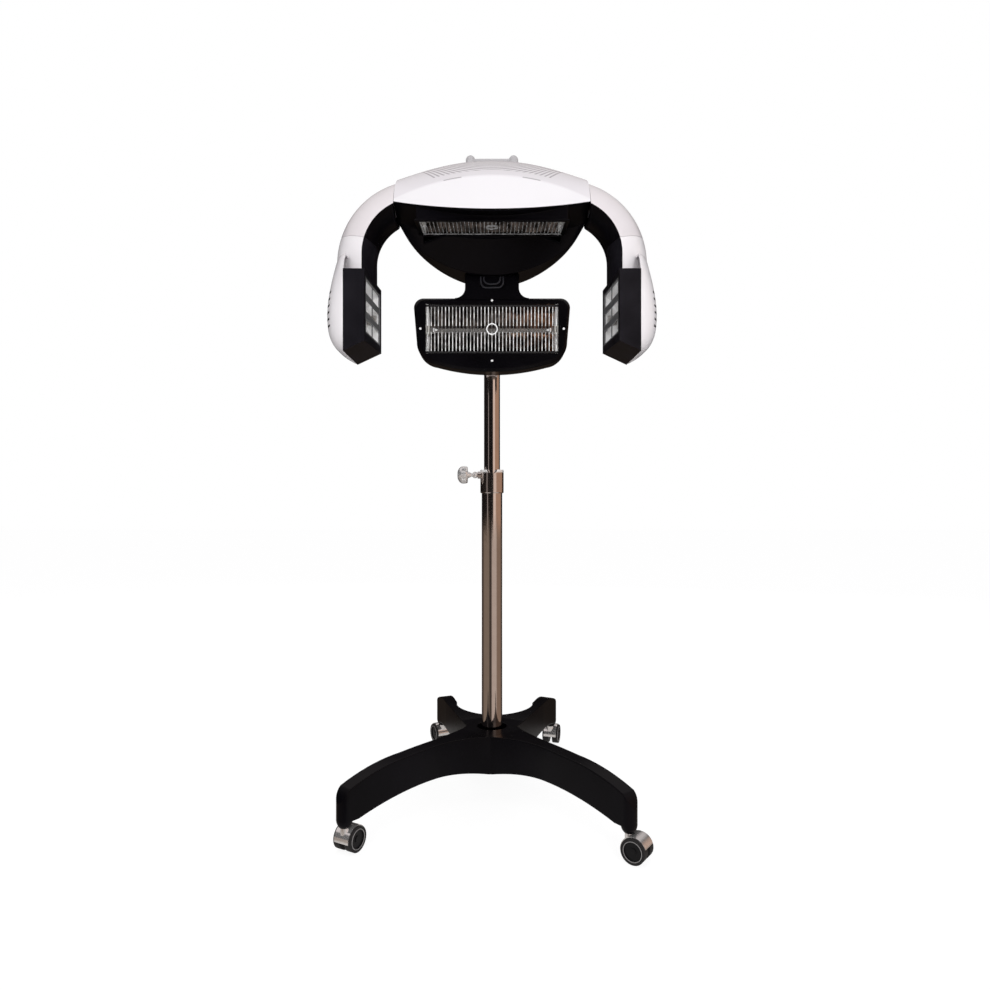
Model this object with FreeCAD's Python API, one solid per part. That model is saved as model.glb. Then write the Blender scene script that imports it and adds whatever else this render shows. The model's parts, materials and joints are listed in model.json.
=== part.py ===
import FreeCAD, Part
import math
import os

# Hair colour processor (climazone) on a castor stand. Millimetres, +Z up.
# Origin: column axis at floor level. The client sits in front, towards -Y.

os.makedirs("parts", exist_ok=True)

# ---------------------------------------------------------------- driving sizes

# Running clearances
RUN = 0.05            # radial play of a pin or tube in its bush
GAP = 0.4             # air between mouldings that move past each other

# Base
BASE_TURN = -2.2      # the castor base stands turned a little under the head
FRONT_PIVOT = (255.0, -295.0)
REAR_PIVOT = (140.0, 300.0)
LEG_W = 30.0          # width of a leg
LEG_TOP = 144.0       # flat top of the legs near the hub
HUB_TOP = 140.0
HUB_R = 40.0
WELL_R = 32.0         # recess round the foot of the column
WELL_FLOOR = 126.0
CROTCH_FRONT = 76.0   # where the walls of two neighbouring legs meet
CROTCH_SIDE = 54.0
CROTCH_REAR = 76.0
REAR_BOW = ((20.0, 76.5), (70.0, 104.0), (91.0, 166.0))   # bow of the wall between the rear legs
REAR_SIDE = ((86.0, 75.0), (118.0, 166.0))     # bow of a rear leg's outer wall
NOSE_BOTTOM = 47.0    # underside of a leg end, where the castor turns
NOSE_R = 8.5
NOSE_TOP = 64.0
NOSE_INSET = 0.3      # nose inside the leg's walls
NOSE_BEND = (2.2, 5.0)        # middle of the nose's rounding: in from the wall, up from below
LEG_FLARE = 0.47      # share of a front leg's length where its walls become parallel
# Side view of a leg: share of its length and height
LEG_CREST = 0.4
LEG_HAUNCH = (0.64, 142.0)
LEG_DROOP = (0.85, 134.0)
LEG_ARCH = (0.52, 79.0)       # highest point of the arched underside
LEG_SHOULDER = 118.0  # heights of the leg's drooping end
LEG_CHEEK = 100.0
LEG_SOLE = 60.0
LEG_OVER = 2.0        # leg end beyond the nose
HEEL_BACK = 6.0       # sole behind the nose
HUB_REACH = 60.0      # flat of the hub along a leg
HUB_BELLY = 62.0      # underside of the hub at its edge and at its middle
HUB_UNDER = 58.0
BOLT_R = 6.0          # bolt that holds the column
BOLT_HEAD_R = 9.8
BOLT_HEAD_H = 7.0
BOLT_POCKET_R = 17.0
BOLT_POCKET_TOP = 70.0
WASHER_R = 15.0
WASHER_T = 3.0
SOCKET_T = 2.0        # castor socket
SOCKET_OVER = 4.0     # socket above the stem's top

# Castors
WHEEL_R = 23.0
WHEEL_W = 14.0        # one wheel of the pair
WEB_T = 10.0          # hood web between the two wheels
TRAIL = 15.0          # axle behind the swivel axis
TREAD_T = 4.0
HOOD_R = 24.8
HOOD_T = 1.4
HOOD_W = 32.0
STEM_R = 5.0
STEM_TOP = 84.0
AXLE_R = 3.0
HOOD_ANGLES = (20, 75, 130, 185)     # the hood covers the wheels between the first and the last
AXLE_BOSS_R = 8.0     # boss of the web round the axle
SWIVEL_BOSS_R = 7.5   # boss under the leg end
SWIVEL_BOSS_LOW = 34.0
DISH_DEEP = 2.0       # dished outer face of a wheel core
DISH_EDGE = 3.0
HUBCAP_R = 6.0
HUBCAP_SUNK = 0.6
# castor name, leg end (x, y sign), direction of the trail in degrees
CASTORS = (("front_left", -1, -1, 61.0), ("front_right", 1, -1, -35.0),
           ("rear_left", -1, 1, 118.0), ("rear_right", 1, 1, 73.0))

# Column
TUBE_R = 22.5         # lower tube
TUBE_T = 2.0
TUBE_FOOT = 82.0
TUBE_TOP = 672.0
COLLAR_R = 25.5
COLLAR_BOTTOM = 650.0
COLLAR_TOP = 701.0
CLAMP_Z = 690.0
MAST_R = 17.5
MAST_T = 2.0
MAST_FOOT = 430.0
MAST_TOP = 1016.0
NOTCH_R = 12.0        # scalloped notch at the front of the collar's top
CLAMP_BOSS_R = 8.0    # boss of the collar for the thumb screw, and how far it stands out
CLAMP_BOSS_OUT = 6.0
CLAMP_THREAD_R = 4.0
BUSH_LENGTH = 70.0    # glide bush below and its gap above the tube's top
BUSH_TOP = 687.0
PLUG_H = 16.0         # threaded plug in the foot of the column
FOOT_RING = 14.0      # glide ring on the mast's foot and its spigot
FOOT_SPIGOT = 22.0
MAST_CAP = 3.0
KNOB_R = 19.0
KNOB_RIM = 12.0       # the knob's outline: top of the rim, bend, crown
KNOB_BEND = (0.72, 18.4)
KNOB_CROWN = (6.0, 21.5)
KNOB_FLUTES = 14
KNOB_FLUTE_R = 2.2
KNOB_NECK_R = 8.0
KNOB_NECK = 8.0
NUT_R = 7.2           # rounded lock nut against the collar's boss
NUT_H = 10.0
KNOB_X = -54.0        # inner face of the thumb screw's head

# Back unit
PANEL_FRONT = -75.0
PANEL_SPLIT = -22.0   # seam between front housing and rear cover
PANEL_REAR = 44.0
PANEL_HALF = 164.0    # half width at the top
PANEL_TOP = 1059.0
PANEL_BOTTOM = 905.0
NECK_HALF = 56.5
NECK_FRONT = -72.0
NECK_REAR = -8.0
WALL = 3.0            # moulded shells
RIM = 1.5             # moulded rim in front of a reflector's edge
SHEET = 0.8           # reflector sheet
POST_R = 5.0          # posts that the chassis plate is screwed to
PANEL_CORNER = 20.0   # rounding of the panel's upper corners
PANEL_SIDE = (6.0, 62.0)      # side wall's foot, bend and the start of the chin:
PANEL_BEND = (17.0, 32.0)     # in from the half width, up from the bottom
PANEL_CHIN = (46.0, 16.0)
PANEL_BEVEL = (5.0, 7.0)      # bevel round the front: width and depth
REAR_TAPER = 30.0     # how far the rear cover tapers in
NECK_FLARE = 21.0     # concave roots of the neck
NECK_OVER = 40.0      # neck blank beyond its own width
CHASSIS_T = 2.5
SLEEVE_T = 3.2
SLEEVE_LOW = 28.0     # sleeve and screw above the panel's bottom
SCREW_LOW = 22.0
SCREW_IN = (6.0, 14.0)        # screws in from the top and from the sides
SCREW_R = 2.6
VENT_ROWS = 6         # vents of the rear cover
VENT_PITCH = 6.0
VENT_W = 2.6
VENT_SPAN = (24.0, 110.0)
VENT_ABOVE = 12.0     # lowest vent above the lamp

# Controls on the rear face
CONTROL_Z = 968.0
CONTROL_HALF = 62.0
CONTROL_H = 44.0
CONTROL_T = 2.5
CONTROL_CORNER = 5.0
TIMER_X = 36.0
TIMER_R = 13.0
TIMER_H = 12.0
TIMER_SHAFT_R = 3.0
POINTER = (0.8, 4.0, 12.0)    # half width, inner and outer end of the pointer's groove
ROCKER_X = -34.0
ROCKER_HALF = 12.0
ROCKER_H = 14.0
INLET_X = 99.0
INLET_HALF = 21.0     # flange and body of the mains inlet
INLET_H = 26.0
INLET_BODY = (13.5, 20.0)
INLET_DEEP = 24.0
INLET_WALL = 2.0
INLET_PINS = ((-7.0, -1.5), (0.0, 2.5), (7.0, -1.5))
INLET_PIN = (1.0, 2.5)        # half thickness and half height of a pin
POSTS = ((-152.0, 1000.0), (152.0, 1000.0), (-60.0, 926.0), (60.0, 926.0))

# Lamp module, the same in the back unit and in the top unit
SLOT_HALF = 140.0
SLOT_H = 107.0
SLOT_DEPTH = 34.0
GUARD_PITCH = 7.5
GUARD_WIRE_R = 0.9
TROUGH_FLANK = (0.62, 0.72)   # where the flank meets the round floor: share of depth and height
TUBE_DEPTH = 0.5      # tube's place in the depth of the reflector
TUBE_SHORT = 16.0     # glass and ceramic ends inside the half length
CERAMIC = (20.0, 8.0)
CERAMIC_T = 1.6
HOLDER_HALF = 9.0
GUARD_STRIP = 4.0     # flat strips that carry the wires
GUARD_STRIP_T = 1.2
GUARD_IN = 4.7        # strips in from the opening's edge
GUARD_RING_R = 12.0   # ring at the middle of the guard
GUARD_RING_W = 2.0
GUARD_RING_T = 2.8
LAMP_R = 5.0
LAMP_Z = 994.0        # middle of the back lamp

# Tilt joint between back unit and top unit
TILT_Y = -40.0
TILT_Z = 1090.0
KNUCKLE_R = 32.0
TONGUE_HALF = 25.0
TILT_PIN_R = 5.0
PIN_SHORT = 4.0       # tilt pin inside the neck's cheeks

# Top unit: side profile at the middle (y, z), and at its ends
HOOD_HALF = 187.0
MID_PROFILE = {"lip": (-262.0, 1172.0), "crease": (-218.0, 1254.0), "roof": (-150.0, 1310.0),
               "crest": (-60.0, 1340.0), "back": (12.0, 1318.0), "rear": (48.0, 1258.0),
               "tail": (40.0, 1170.0), "heel": (14.0, 1105.0), "toe": (-80.0, 1105.0),
               "bay": (-112.0, 1169.0)}
END_PROFILE = {"lip": (-218.0, 1203.0), "crease": (-213.0, 1212.0), "roof": (-190.0, 1247.0),
               "crest": (-150.0, 1272.0), "back": (-118.0, 1266.0), "rear": (-100.0, 1240.0),
               "tail": (-98.0, 1218.0), "heel": (-112.0, 1196.0), "toe": (-135.0, 1191.0),
               "bay": (-150.0, 1190.0)}
PART_SLOPE = 0.12     # climb of the parting between cover and shell, towards the rear
TOP_LAMP_Y = -172.5
TOP_LAMP_Z = 1166.0
TOP_LAMP_LEAN = 5.0   # the top lamp's front edge hangs lower
BOWL_OVER = 5.0       # roundness of the underside: circle beyond the half width
STATIONS = (-1, -0.88, -0.68, -0.36, 0, 0.36, 0.68, 0.88, 1)
FRAME_EDGE = 6.0      # lamp frame beyond the slot
TONGUE_WEB = 20.0     # half depth and height of the web that carries the tilt tongue
TONGUE_RISE = 60.0
HANDLE_HALF = 46.5    # carrying handle behind the crest of the top cover
HANDLE_Y = -25.0
HANDLE_Z = 1367.0     # middle of the bar
HANDLE_BAR_R = 5.0
HANDLE_BOSS_R = 10.0
HANDLE_DOME = 2.0     # dome's middle above the bar

# Arms: a bent band, turned about an axis along Y through (ARM_X, ARM_Z)
ARM_X = 142.5
ARM_Z = 1104.8
ARM_NOSE = (-218.0, 105.0)      # (y, distance from the bend's axis)
ARM_OUTER = (-152.0, 165.0)
ARM_TAIL = (-98.0, 124.0)
ARM_INNER = (-150.0, 88.0)
ARM_BROW = (-192.0, 143.0)      # points between them, from the nose round to the underside
ARM_BACK = (-112.0, 153.0)
ARM_HEEL = (-116.0, 96.0)
ARM_CHIN = (-190.0, 91.0)
ARM_START = 4.0       # degrees from upright where the band begins, inside the top unit
ARM_END = 73.0        # degrees from upright to the side lamp's seam
ARM_SEAM = 187.8      # x of the seam against the top unit
HINGE_X = 192.0       # arm hinge
HINGE_Z = 1246.0
HINGE_Y = (-168.0, -134.0)       # outer faces of the arm's two knuckles
HINGE_LUG = (-158.0, -146.0)     # lug of the top unit between them
HINGE_R = 5.5
HINGE_PIN_R = 3.0
HINGE_LEAF = 3.0      # leaf's top above the hinge axis
LEAF_TIP = ((227.0, 1213.0), (231.0, 1216.0))    # leaf where it meets the strip (x, z)
LUG_ROOT = 140.0      # x where the lug's leaf enters its foot
LUG_FOOT = (132.0, 150.0)
LUG_FOOT_WIDE = 8.0
STRIP_Y = (-180.0, -136.0)      # steel strip of the arm: width and radii about the bend
STRIP_R = (136.0, 139.0)
STRIP_START = 34.0
PLATE_DEGREES = (2.5, 5.5)      # end plate above the seam
SWIVEL_PLATE = (3.0, 6.0)       # plate of the side lamp below the seam

# Side lamps
SIDE_FRONT = -247.0
SIDE_REAR = -98.0
SIDE_INNER_FRONT = 237.0
SIDE_INNER_REAR = 228.0
SIDE_OUTER = 277.0
SIDE_TOP = 1067.0
SIDE_BOTTOM_IN = 937.0
SIDE_BOTTOM_OUT = 914.0
SWIVEL_R = 9.0        # swivel pin of a side lamp
SWIVEL_SEAT = (124.0, -156.0)   # its place in the seam: distance from the bend's axis, y
SWIVEL_DOWN = 14.0
SWIVEL_UP = 12.0
NECK_RUN = 48.0       # straight end of the band inside the side lamp
LOUVRE_FRAME = 3.0
LOUVRE_BAR_Z = 17.5   # broad bars of the louvre
LOUVRE_BAR_HALF = 6.0
LOUVRE_STAY_HALF = 1.0
SIDE_HALF = 64.0      # half the opening of a side lamp, along its tube
SIDE_H = 104.0        # its height
SIDE_DEPTH = 26.0     # depth of its reflector
COVER_ROWS = (        # height, outermost reach, front and rear of the white outer cover
    (914.0, 282.0, -232.0, -112.0), (922.0, 294.0, -240.0, -104.0), (941.0, 309.0, -245.0, -100.0),
    (972.0, 317.5, -247.0, -98.0), (1014.0, 317.0, -247.0, -98.0), (1058.0, 309.0, -244.0, -98.0),
    (1086.0, 303.0, -235.0, -99.0), (1104.0, 299.0, -221.0, -101.0))
# Outline of the cover from above: shares of its reach and of its depth
COVER_BROW = (0.76, 0.2)
COVER_PEAK = 0.56
COVER_REAR = (0.9, 0.84)
COVER_END = 0.42
SIDE_VENT_HALF = 2.2
SIDE_VENT_IN = 26.0   # vents reach from the bulge in to this far beyond the seam
SIDE_VENT_LOW = 968.0
SIDE_VENT_HIGH = 1032.0
SIDE_VENT_STEP = 12.8
SIDE_VENT_FRONT = -196.0
SIDE_VENT_REAR = -128.0
SEAM_GAP = 0.3        # degrees of the bend left open at the side lamp's seam

CORNER_SHARE = 0.293  # how far a round corner's middle stands in, as a share of its radius

V = FreeCAD.Vector
X_AXIS, Y_AXIS, Z_AXIS = V(1, 0, 0), V(0, 1, 0), V(0, 0, 1)


# ---------------------------------------------------------------- small helpers

def save(name, shape):
    """Write one named piece."""
    shape.exportStep(os.path.join("parts", name + ".step"))
    print(name, len(shape.Solids), "solids", round(shape.Volume), "mm3", shape.isValid())


def box(x0, x1, y0, y1, z0, z1):
    return Part.makeBox(x1 - x0, y1 - y0, z1 - z0, V(x0, y0, z0))


def rod(radius, start, end):
    """Round bar between two points."""
    run = end - start
    return Part.makeCylinder(radius, run.Length, start, run)


def tube(outer, inner, start, end):
    return rod(outer, start, end).cut(rod(inner, start, end))


def join(shapes):
    first = shapes[0]
    return first.fuse(shapes[1:]).removeSplitter() if len(shapes) > 1 else first


def lines(points):
    """Closed wire of straight edges."""
    return Part.makePolygon(list(points) + [points[0]])


def prism(wire, run):
    return Part.Face(wire).extrude(run)


def arc(start, middle, end):
    return Part.Arc(start, middle, end).toShape()


def line(start, end):
    return Part.makeLine(start, end)


def turned(shape, degrees, axis=Z_AXIS, at=V(0, 0, 0)):
    copy = shape.copy()
    copy.rotate(at, axis, degrees)
    return copy


def moved(shape, offset):
    copy = shape.copy()
    copy.translate(offset)
    return copy


def mirrored(shape):
    """The same piece on the other side of the middle plane."""
    return shape.mirror(V(0, 0, 0), X_AXIS)


# ---------------------------------------------------------------- base

def pivot(side, end):
    """Swivel axis of one castor in the base's own frame."""
    x, y = FRONT_PIVOT if end < 0 else REAR_PIVOT
    return V(side * x, y, 0)


def tangent_arc(start, heading, end):
    """Arc that leaves start along heading and reaches end."""
    chord = end - start
    normal = V(-heading.y, heading.x, 0)
    across = chord.dot(normal)
    radius = chord.dot(chord) / (2 * across)
    centre = start + normal * radius
    middle = (start + end) * 0.5 - centre
    middle.normalize()
    return arc(start, centre + middle * abs(radius), end)


def leg_plan(foot, crotches):
    """Outline of one leg from above: rounded end, parallel walls, walls flared to the hub.

    The rear legs leave the hub sideways: a wide bow joins them and their outer walls bow too.
    """
    reach = foot.Length
    ahead = foot * (1 / reach)
    across = V(-ahead.y, ahead.x, 0)
    flare = LEG_FLARE * reach
    half = LEG_W / 2
    right, left = crotches
    right_root = ahead * flare - across * half
    left_root = ahead * flare + across * half
    right_end = foot - across * half
    left_end = foot + across * half
    walls = []
    for crotch, root, end in ((right, right_root, right_end), (left, left_root, left_end)):
        side = 1 if foot.x > 0 else -1
        if crotch.y > 0:
            start, bow, close = (V(side * x, y, 0) for x, y in REAR_BOW)
            walls += [line(crotch, start), arc(start, bow, close), line(close, end)]
        elif foot.y > 0:
            bow, close = (V(side * x, y, 0) for x, y in REAR_SIDE)
            walls += [arc(crotch, bow, close), line(close, end)]
        else:
            walls += [tangent_arc(root, ahead * -1, crotch), line(root, end)]
    edges = walls + [line(V(0, 0, 0), right), arc(right_end, foot + ahead * half, left_end),
                     line(left, V(0, 0, 0))]
    return Part.Wire(Part.__sortEdges__(edges))


def leg_side(reach):
    """Side view of one leg along its length (r, z): arched, with a rounded drooping end."""
    def at(r, z):
        return V(r, 0, z)
    crest = at(LEG_CREST * reach, LEG_TOP)
    haunch = at(LEG_HAUNCH[0] * reach, LEG_HAUNCH[1])
    droop = at(LEG_DROOP[0] * reach, LEG_DROOP[1])
    shoulder = at(reach - LEG_OVER, LEG_SHOULDER)
    tip = reach + LEG_W / 2 + LEG_OVER
    cheek, sole = at(tip - HEEL_BACK + 1, LEG_CHEEK), at(tip, LEG_SOLE)
    heel = at(reach - LEG_W / 2 - HEEL_BACK, LEG_SOLE)
    arch = at(LEG_ARCH[0] * reach, LEG_ARCH[1])
    edges = [line(at(-HUB_REACH, HUB_UNDER), at(-HUB_REACH, HUB_TOP)),
             line(at(-HUB_REACH, HUB_TOP), at(HUB_REACH, HUB_TOP)),
             arc(at(HUB_REACH, HUB_TOP), crest, haunch), arc(haunch, droop, shoulder),
             arc(shoulder, cheek, sole), line(sole, heel),
             arc(heel, arch, at(HUB_REACH, HUB_BELLY)),
             line(at(HUB_REACH, HUB_BELLY), at(-HUB_REACH, HUB_UNDER))]
    return Part.Wire(Part.__sortEdges__(edges))



def leg_nose(foot):
    """Rounded lower end of a leg, tapering to the castor."""
    half = LEG_W / 2 - NOSE_INSET
    bend_in, bend_up = NOSE_BEND
    low, out = V(0, 0, NOSE_BOTTOM), V(NOSE_R, 0, NOSE_BOTTOM)
    wall, top = V(half, 0, LEG_SOLE), V(half, 0, NOSE_TOP)
    edges = [line(low, out), arc(out, V(half - bend_in, 0, NOSE_BOTTOM + bend_up), wall),
             line(wall, top), line(top, V(0, 0, NOSE_TOP)), line(V(0, 0, NOSE_TOP), low)]
    nose = Part.Face(Part.Wire(edges)).revolve(V(0, 0, 0), Z_AXIS, 360)
    return moved(nose, foot)



def base_moulding():
    front, rear = V(0, -CROTCH_FRONT, 0), V(0, CROTCH_REAR, 0)
    left, right = V(-CROTCH_SIDE, 0, 0), V(CROTCH_SIDE, 0, 0)
    around = {(-1, -1): (left, front), (1, -1): (front, right),
              (1, 1): (right, rear), (-1, 1): (rear, left)}
    above, beside = LEG_TOP + 76, FRONT_PIVOT[0] - 95
    legs = []
    for (side, end), crotches in around.items():
        foot = pivot(side, end)
        plan = prism(leg_plan(foot, crotches), V(0, 0, above))
        slab = moved(prism(leg_side(foot.Length), V(0, 2 * beside, 0)), V(0, -beside, 0))
        slab = turned(slab, math.degrees(math.atan2(foot.y, foot.x)))
        legs.append(plan.common(slab))
        legs.append(leg_nose(foot))
    hub = rod(HUB_R, V(0, 0, LEG_SOLE), V(0, 0, HUB_TOP))
    body = join(legs + [hub])
    body = body.cut(rod(WELL_R, V(0, 0, WELL_FLOOR), V(0, 0, above)))
    body = body.cut(rod(TUBE_R, V(0, 0, TUBE_FOOT), V(0, 0, above)))
    body = body.cut(rod(BOLT_R + 0.2, V(0, 0, 0), V(0, 0, above)))
    body = body.cut(rod(BOLT_POCKET_R, V(0, 0, 0), V(0, 0, BOLT_POCKET_TOP)))
    for side, end in around:
        foot = pivot(side, end)
        body = body.cut(rod(STEM_R + SOCKET_T, foot, foot + V(0, 0, STEM_TOP + SOCKET_OVER)))
    return body


def castor_sockets():
    """Steel sleeves pressed into the leg ends for the castor stems."""
    sleeves = []
    for _, side, end, _ in CASTORS:
        foot = pivot(side, end)
        low, high = foot + V(0, 0, NOSE_BOTTOM), foot + V(0, 0, STEM_TOP + SOCKET_OVER)
        bore_top = high - V(0, 0, SOCKET_OVER - 1)
        sleeves.append(rod(STEM_R + SOCKET_T, low, high).cut(rod(STEM_R + RUN, low, bore_top)))
    return Part.makeCompound(sleeves)



def column_bolt():
    """Bolt and washer that pull the column down into the hub from below."""
    under = BOLT_POCKET_TOP - WASHER_T
    washer = tube(WASHER_R, BOLT_R, V(0, 0, under), V(0, 0, BOLT_POCKET_TOP))
    corners = [turned(Part.Vertex(V(BOLT_HEAD_R, 0, under - BOLT_HEAD_H)), a).Point
               for a in range(0, 360, 60)]
    head = prism(lines(corners), V(0, 0, BOLT_HEAD_H))
    bolt = join([head, rod(BOLT_R, V(0, 0, under - 1), V(0, 0, TUBE_FOOT + PLUG_H))])
    return Part.makeCompound([bolt, washer])



def build_base():
    for name, shape in (("base_moulding", base_moulding()), ("castor_sockets", castor_sockets()),
                        ("column_bolt", column_bolt())):
        save(name, turned(shape, BASE_TURN))


# ---------------------------------------------------------------- castors

def castor_hood():
    """Chromed hood, web and stem; the axle lies TRAIL behind the stem along +X."""
    axle = V(TRAIL, 0, WHEEL_R)
    side, half = V(0, HOOD_W / 2, 0), V(0, WEB_T / 2, 0)
    through = side * 2
    seat = V(0, 0, NOSE_BOTTOM - GAP)
    shell = tube(HOOD_R, HOOD_R - HOOD_T, axle - side, axle + side)
    rim = [axle - through + turned(Part.Vertex(V(2 * HOOD_R, 0, 0)), -a, Y_AXIS).Point
           for a in HOOD_ANGLES]
    sector = prism(lines([axle - through] + rim), through * 2)
    shell = shell.common(sector)
    web = rod(HOOD_R - 0.2, axle - half, axle + half).common(sector)
    web = web.fuse(rod(AXLE_BOSS_R, axle - half, axle + half))
    boss = rod(SWIVEL_BOSS_R, V(0, 0, SWIVEL_BOSS_LOW), seat)
    boss = boss.fuse(box(0, AXLE_BOSS_R, -half.y, half.y, SWIVEL_BOSS_LOW - 4, seat.z - 2.6))
    inside = rod(HOOD_R - HOOD_T / 2, axle - through, axle + through)
    boss = boss.cut(inside.cut(rod(HOOD_R, axle - half, axle + half)))
    stem = rod(STEM_R, seat, V(0, 0, STEM_TOP))
    body = join([shell, web, boss, stem])
    return body.cut(rod(AXLE_R + RUN, axle - through, axle + through))



def castor_wheels():
    """Pair of wheel cores on their axle, and the grey treads round them."""
    axle = V(TRAIL, 0, WHEEL_R)
    inner = WEB_T / 2 + GAP
    core_r = WHEEL_R - TREAD_T
    grip = V(0, inner + WHEEL_W / 3, 0)
    cores, treads = [rod(AXLE_R, axle - grip, axle + grip)], []
    for way in (-1, 1):
        near, far = axle + V(0, way * inner, 0), axle + V(0, way * (inner + WHEEL_W), 0)
        floor = far - V(0, way * DISH_DEEP, 0)
        dish = rod(core_r - DISH_EDGE, floor, far)
        cap = rod(HUBCAP_R, floor, far - V(0, way * HUBCAP_SUNK, 0))
        cores.append(rod(core_r, near, far).cut(dish).fuse(cap))
        treads.append(tube(WHEEL_R, core_r, near, far))
    return join(cores), Part.makeCompound(treads)



def build_castors():
    hood = castor_hood()
    cores, treads = castor_wheels()
    for name, side, end, trail in CASTORS:
        foot = turned(Part.Vertex(pivot(side, end)), BASE_TURN).Point
        for piece, shape in (("castor_hood_", hood), ("castor_wheels_", cores),
                             ("castor_treads_", treads)):
            save(piece + name, moved(turned(shape, trail), foot))


# ---------------------------------------------------------------- column

def clamp_collar():
    """Turned collar with a scalloped notch in front and a boss for the thumb screw."""
    low, high = V(0, 0, COLLAR_BOTTOM), V(0, 0, COLLAR_TOP)
    shoulder = V(0, 0, TUBE_TOP)
    clamp = V(0, 0, CLAMP_Z)
    body = rod(COLLAR_R, low, high)
    lower_edge = [e for e in body.Edges if abs(e.BoundBox.ZMax - COLLAR_BOTTOM) < 0.01]
    body = body.makeChamfer(1.5, lower_edge)
    boss_end = clamp - X_AXIS * (COLLAR_R + CLAMP_BOSS_OUT)
    body = body.fuse(rod(CLAMP_BOSS_R, clamp - X_AXIS * (MAST_R / 2), boss_end))
    body = body.cut(rod(TUBE_R, low, shoulder))
    body = body.cut(rod(TUBE_R - TUBE_T, shoulder, high))
    notch = V(0, -MAST_R, COLLAR_TOP + NOTCH_R / 4)
    body = body.cut(rod(NOTCH_R, notch - Y_AXIS * COLLAR_R, notch))
    return body.cut(rod(CLAMP_THREAD_R, clamp - X_AXIS * 2 * COLLAR_R, clamp))



def glide_bush():
    """Plastic bush in the top of the column that guides the mast."""
    low, high = V(0, 0, TUBE_TOP - BUSH_LENGTH), V(0, 0, BUSH_TOP)
    clamp = V(0, 0, CLAMP_Z)
    bush = tube(TUBE_R - TUBE_T, MAST_R + RUN, low, high)
    return bush.cut(rod(CLAMP_THREAD_R + GAP, clamp - X_AXIS * 2 * COLLAR_R, clamp))



def thumb_screw():
    """Fluted dome knob on a threaded shank, with a lock nut."""
    under = -0.5
    crown_r, crown = KNOB_CROWN
    bend_r, bend_z = KNOB_R * KNOB_BEND[0], KNOB_BEND[1]
    foot, edge = V(KNOB_R - 2, 0, under), V(KNOB_R, 0, 3)
    rim, top = V(KNOB_R, 0, KNOB_RIM), V(crown_r, 0, crown)
    edges = [line(V(0, 0, under), foot), line(foot, edge), line(edge, rim),
             arc(rim, V(bend_r, 0, bend_z), top), line(top, V(0, 0, crown)),
             line(V(0, 0, crown), V(0, 0, under))]
    head = Part.Face(Part.Wire(edges)).revolve(V(0, 0, 0), Z_AXIS, 360)
    pitch = 360 / KNOB_FLUTES
    flute_r = KNOB_R + KNOB_FLUTE_R / 2
    for step in range(KNOB_FLUTES):
        at = turned(Part.Vertex(V(flute_r, 0, -1)), pitch * (step + 0.5)).Point
        head = head.cut(rod(KNOB_FLUTE_R, at, at + V(0, 0, crown + 3)))
    neck = Part.makeCone(KNOB_NECK_R, CLAMP_THREAD_R + 0.5, KNOB_NECK, V(0, 0, 0), V(0, 0, -1))
    shank = rod(CLAMP_THREAD_R - 0.1, V(0, 0, 0), V(0, 0, KNOB_X + MAST_R + 0.3))
    nut_at = KNOB_X + COLLAR_R + CLAMP_BOSS_OUT + GAP
    nut = Part.makeSphere(NUT_R, V(0, 0, nut_at + NUT_H / 2))
    nut = nut.common(box(-NUT_H, NUT_H, -NUT_H, NUT_H, nut_at, nut_at + NUT_H))
    body = head.fuse([neck, shank, nut])
    return moved(turned(body, -90, Y_AXIS), V(KNOB_X, 0, CLAMP_Z))



def build_column():
    bore = TUBE_R - TUBE_T
    foot, top = V(0, 0, TUBE_FOOT), V(0, 0, TUBE_TOP)
    plug = tube(bore, BOLT_R, foot, foot + V(0, 0, PLUG_H))
    save("lower_tube", join([tube(TUBE_R, bore, foot, top), plug]))
    save("clamp_collar", clamp_collar())
    save("glide_bush", glide_bush())
    save("thumb_screw", thumb_screw())
    start, end = V(0, 0, MAST_FOOT), V(0, 0, MAST_TOP)
    mast = tube(MAST_R, MAST_R - MAST_T, start, end)
    save("mast_tube", join([mast, rod(MAST_R, end, end + V(0, 0, MAST_CAP))]))
    ring = rod(bore - RUN, start - V(0, 0, FOOT_RING), start)
    spigot = rod(MAST_R - MAST_T, start, start + V(0, 0, FOOT_SPIGOT))
    save("mast_foot", ring.fuse(spigot))



# ---------------------------------------------------------------- lamp module

# Local frame of a lamp: opening in the plane y = 0 facing -Y, x along the tube, z across it.

def trough(half, high, deep, inset):
    """Closed profile of a reflector trough, shrunk by its own sheet thickness."""
    top = high / 2 - inset
    floor = deep - inset
    flank_y, flank_z = floor * TROUGH_FLANK[0], top * TROUGH_FLANK[1]
    upper, lower = V(0, flank_y, flank_z), V(0, flank_y, -flank_z)
    edges = [line(V(0, 0, -top), V(0, 0, top)), line(V(0, 0, top), upper),
             arc(upper, V(0, floor, 0), lower), line(lower, V(0, 0, -top))]
    reach = half - inset
    return moved(prism(Part.Wire(edges), V(2 * reach, 0, 0)), V(-reach, 0, 0))



def reflector(half, high, deep):
    """Polished sheet trough with closed ends, hung behind the panel wall."""
    shell = trough(half, high, deep, 0).cut(trough(half, high, deep, SHEET))
    return moved(shell, V(0, WALL, 0))


def lamp_tube(half, deep):
    """Quartz infrared tube with its ceramic ends."""
    middle = WALL + deep * TUBE_DEPTH
    reach = half - TUBE_SHORT
    glass = rod(LAMP_R, V(-reach, middle, 0), V(reach, middle, 0))
    start, end = (half - inset for inset in CERAMIC)
    ends = [rod(LAMP_R + CERAMIC_T, V(way * start, middle, 0), V(way * end, middle, 0))
            for way in (-1, 1)]
    return join([glass] + ends)



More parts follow.
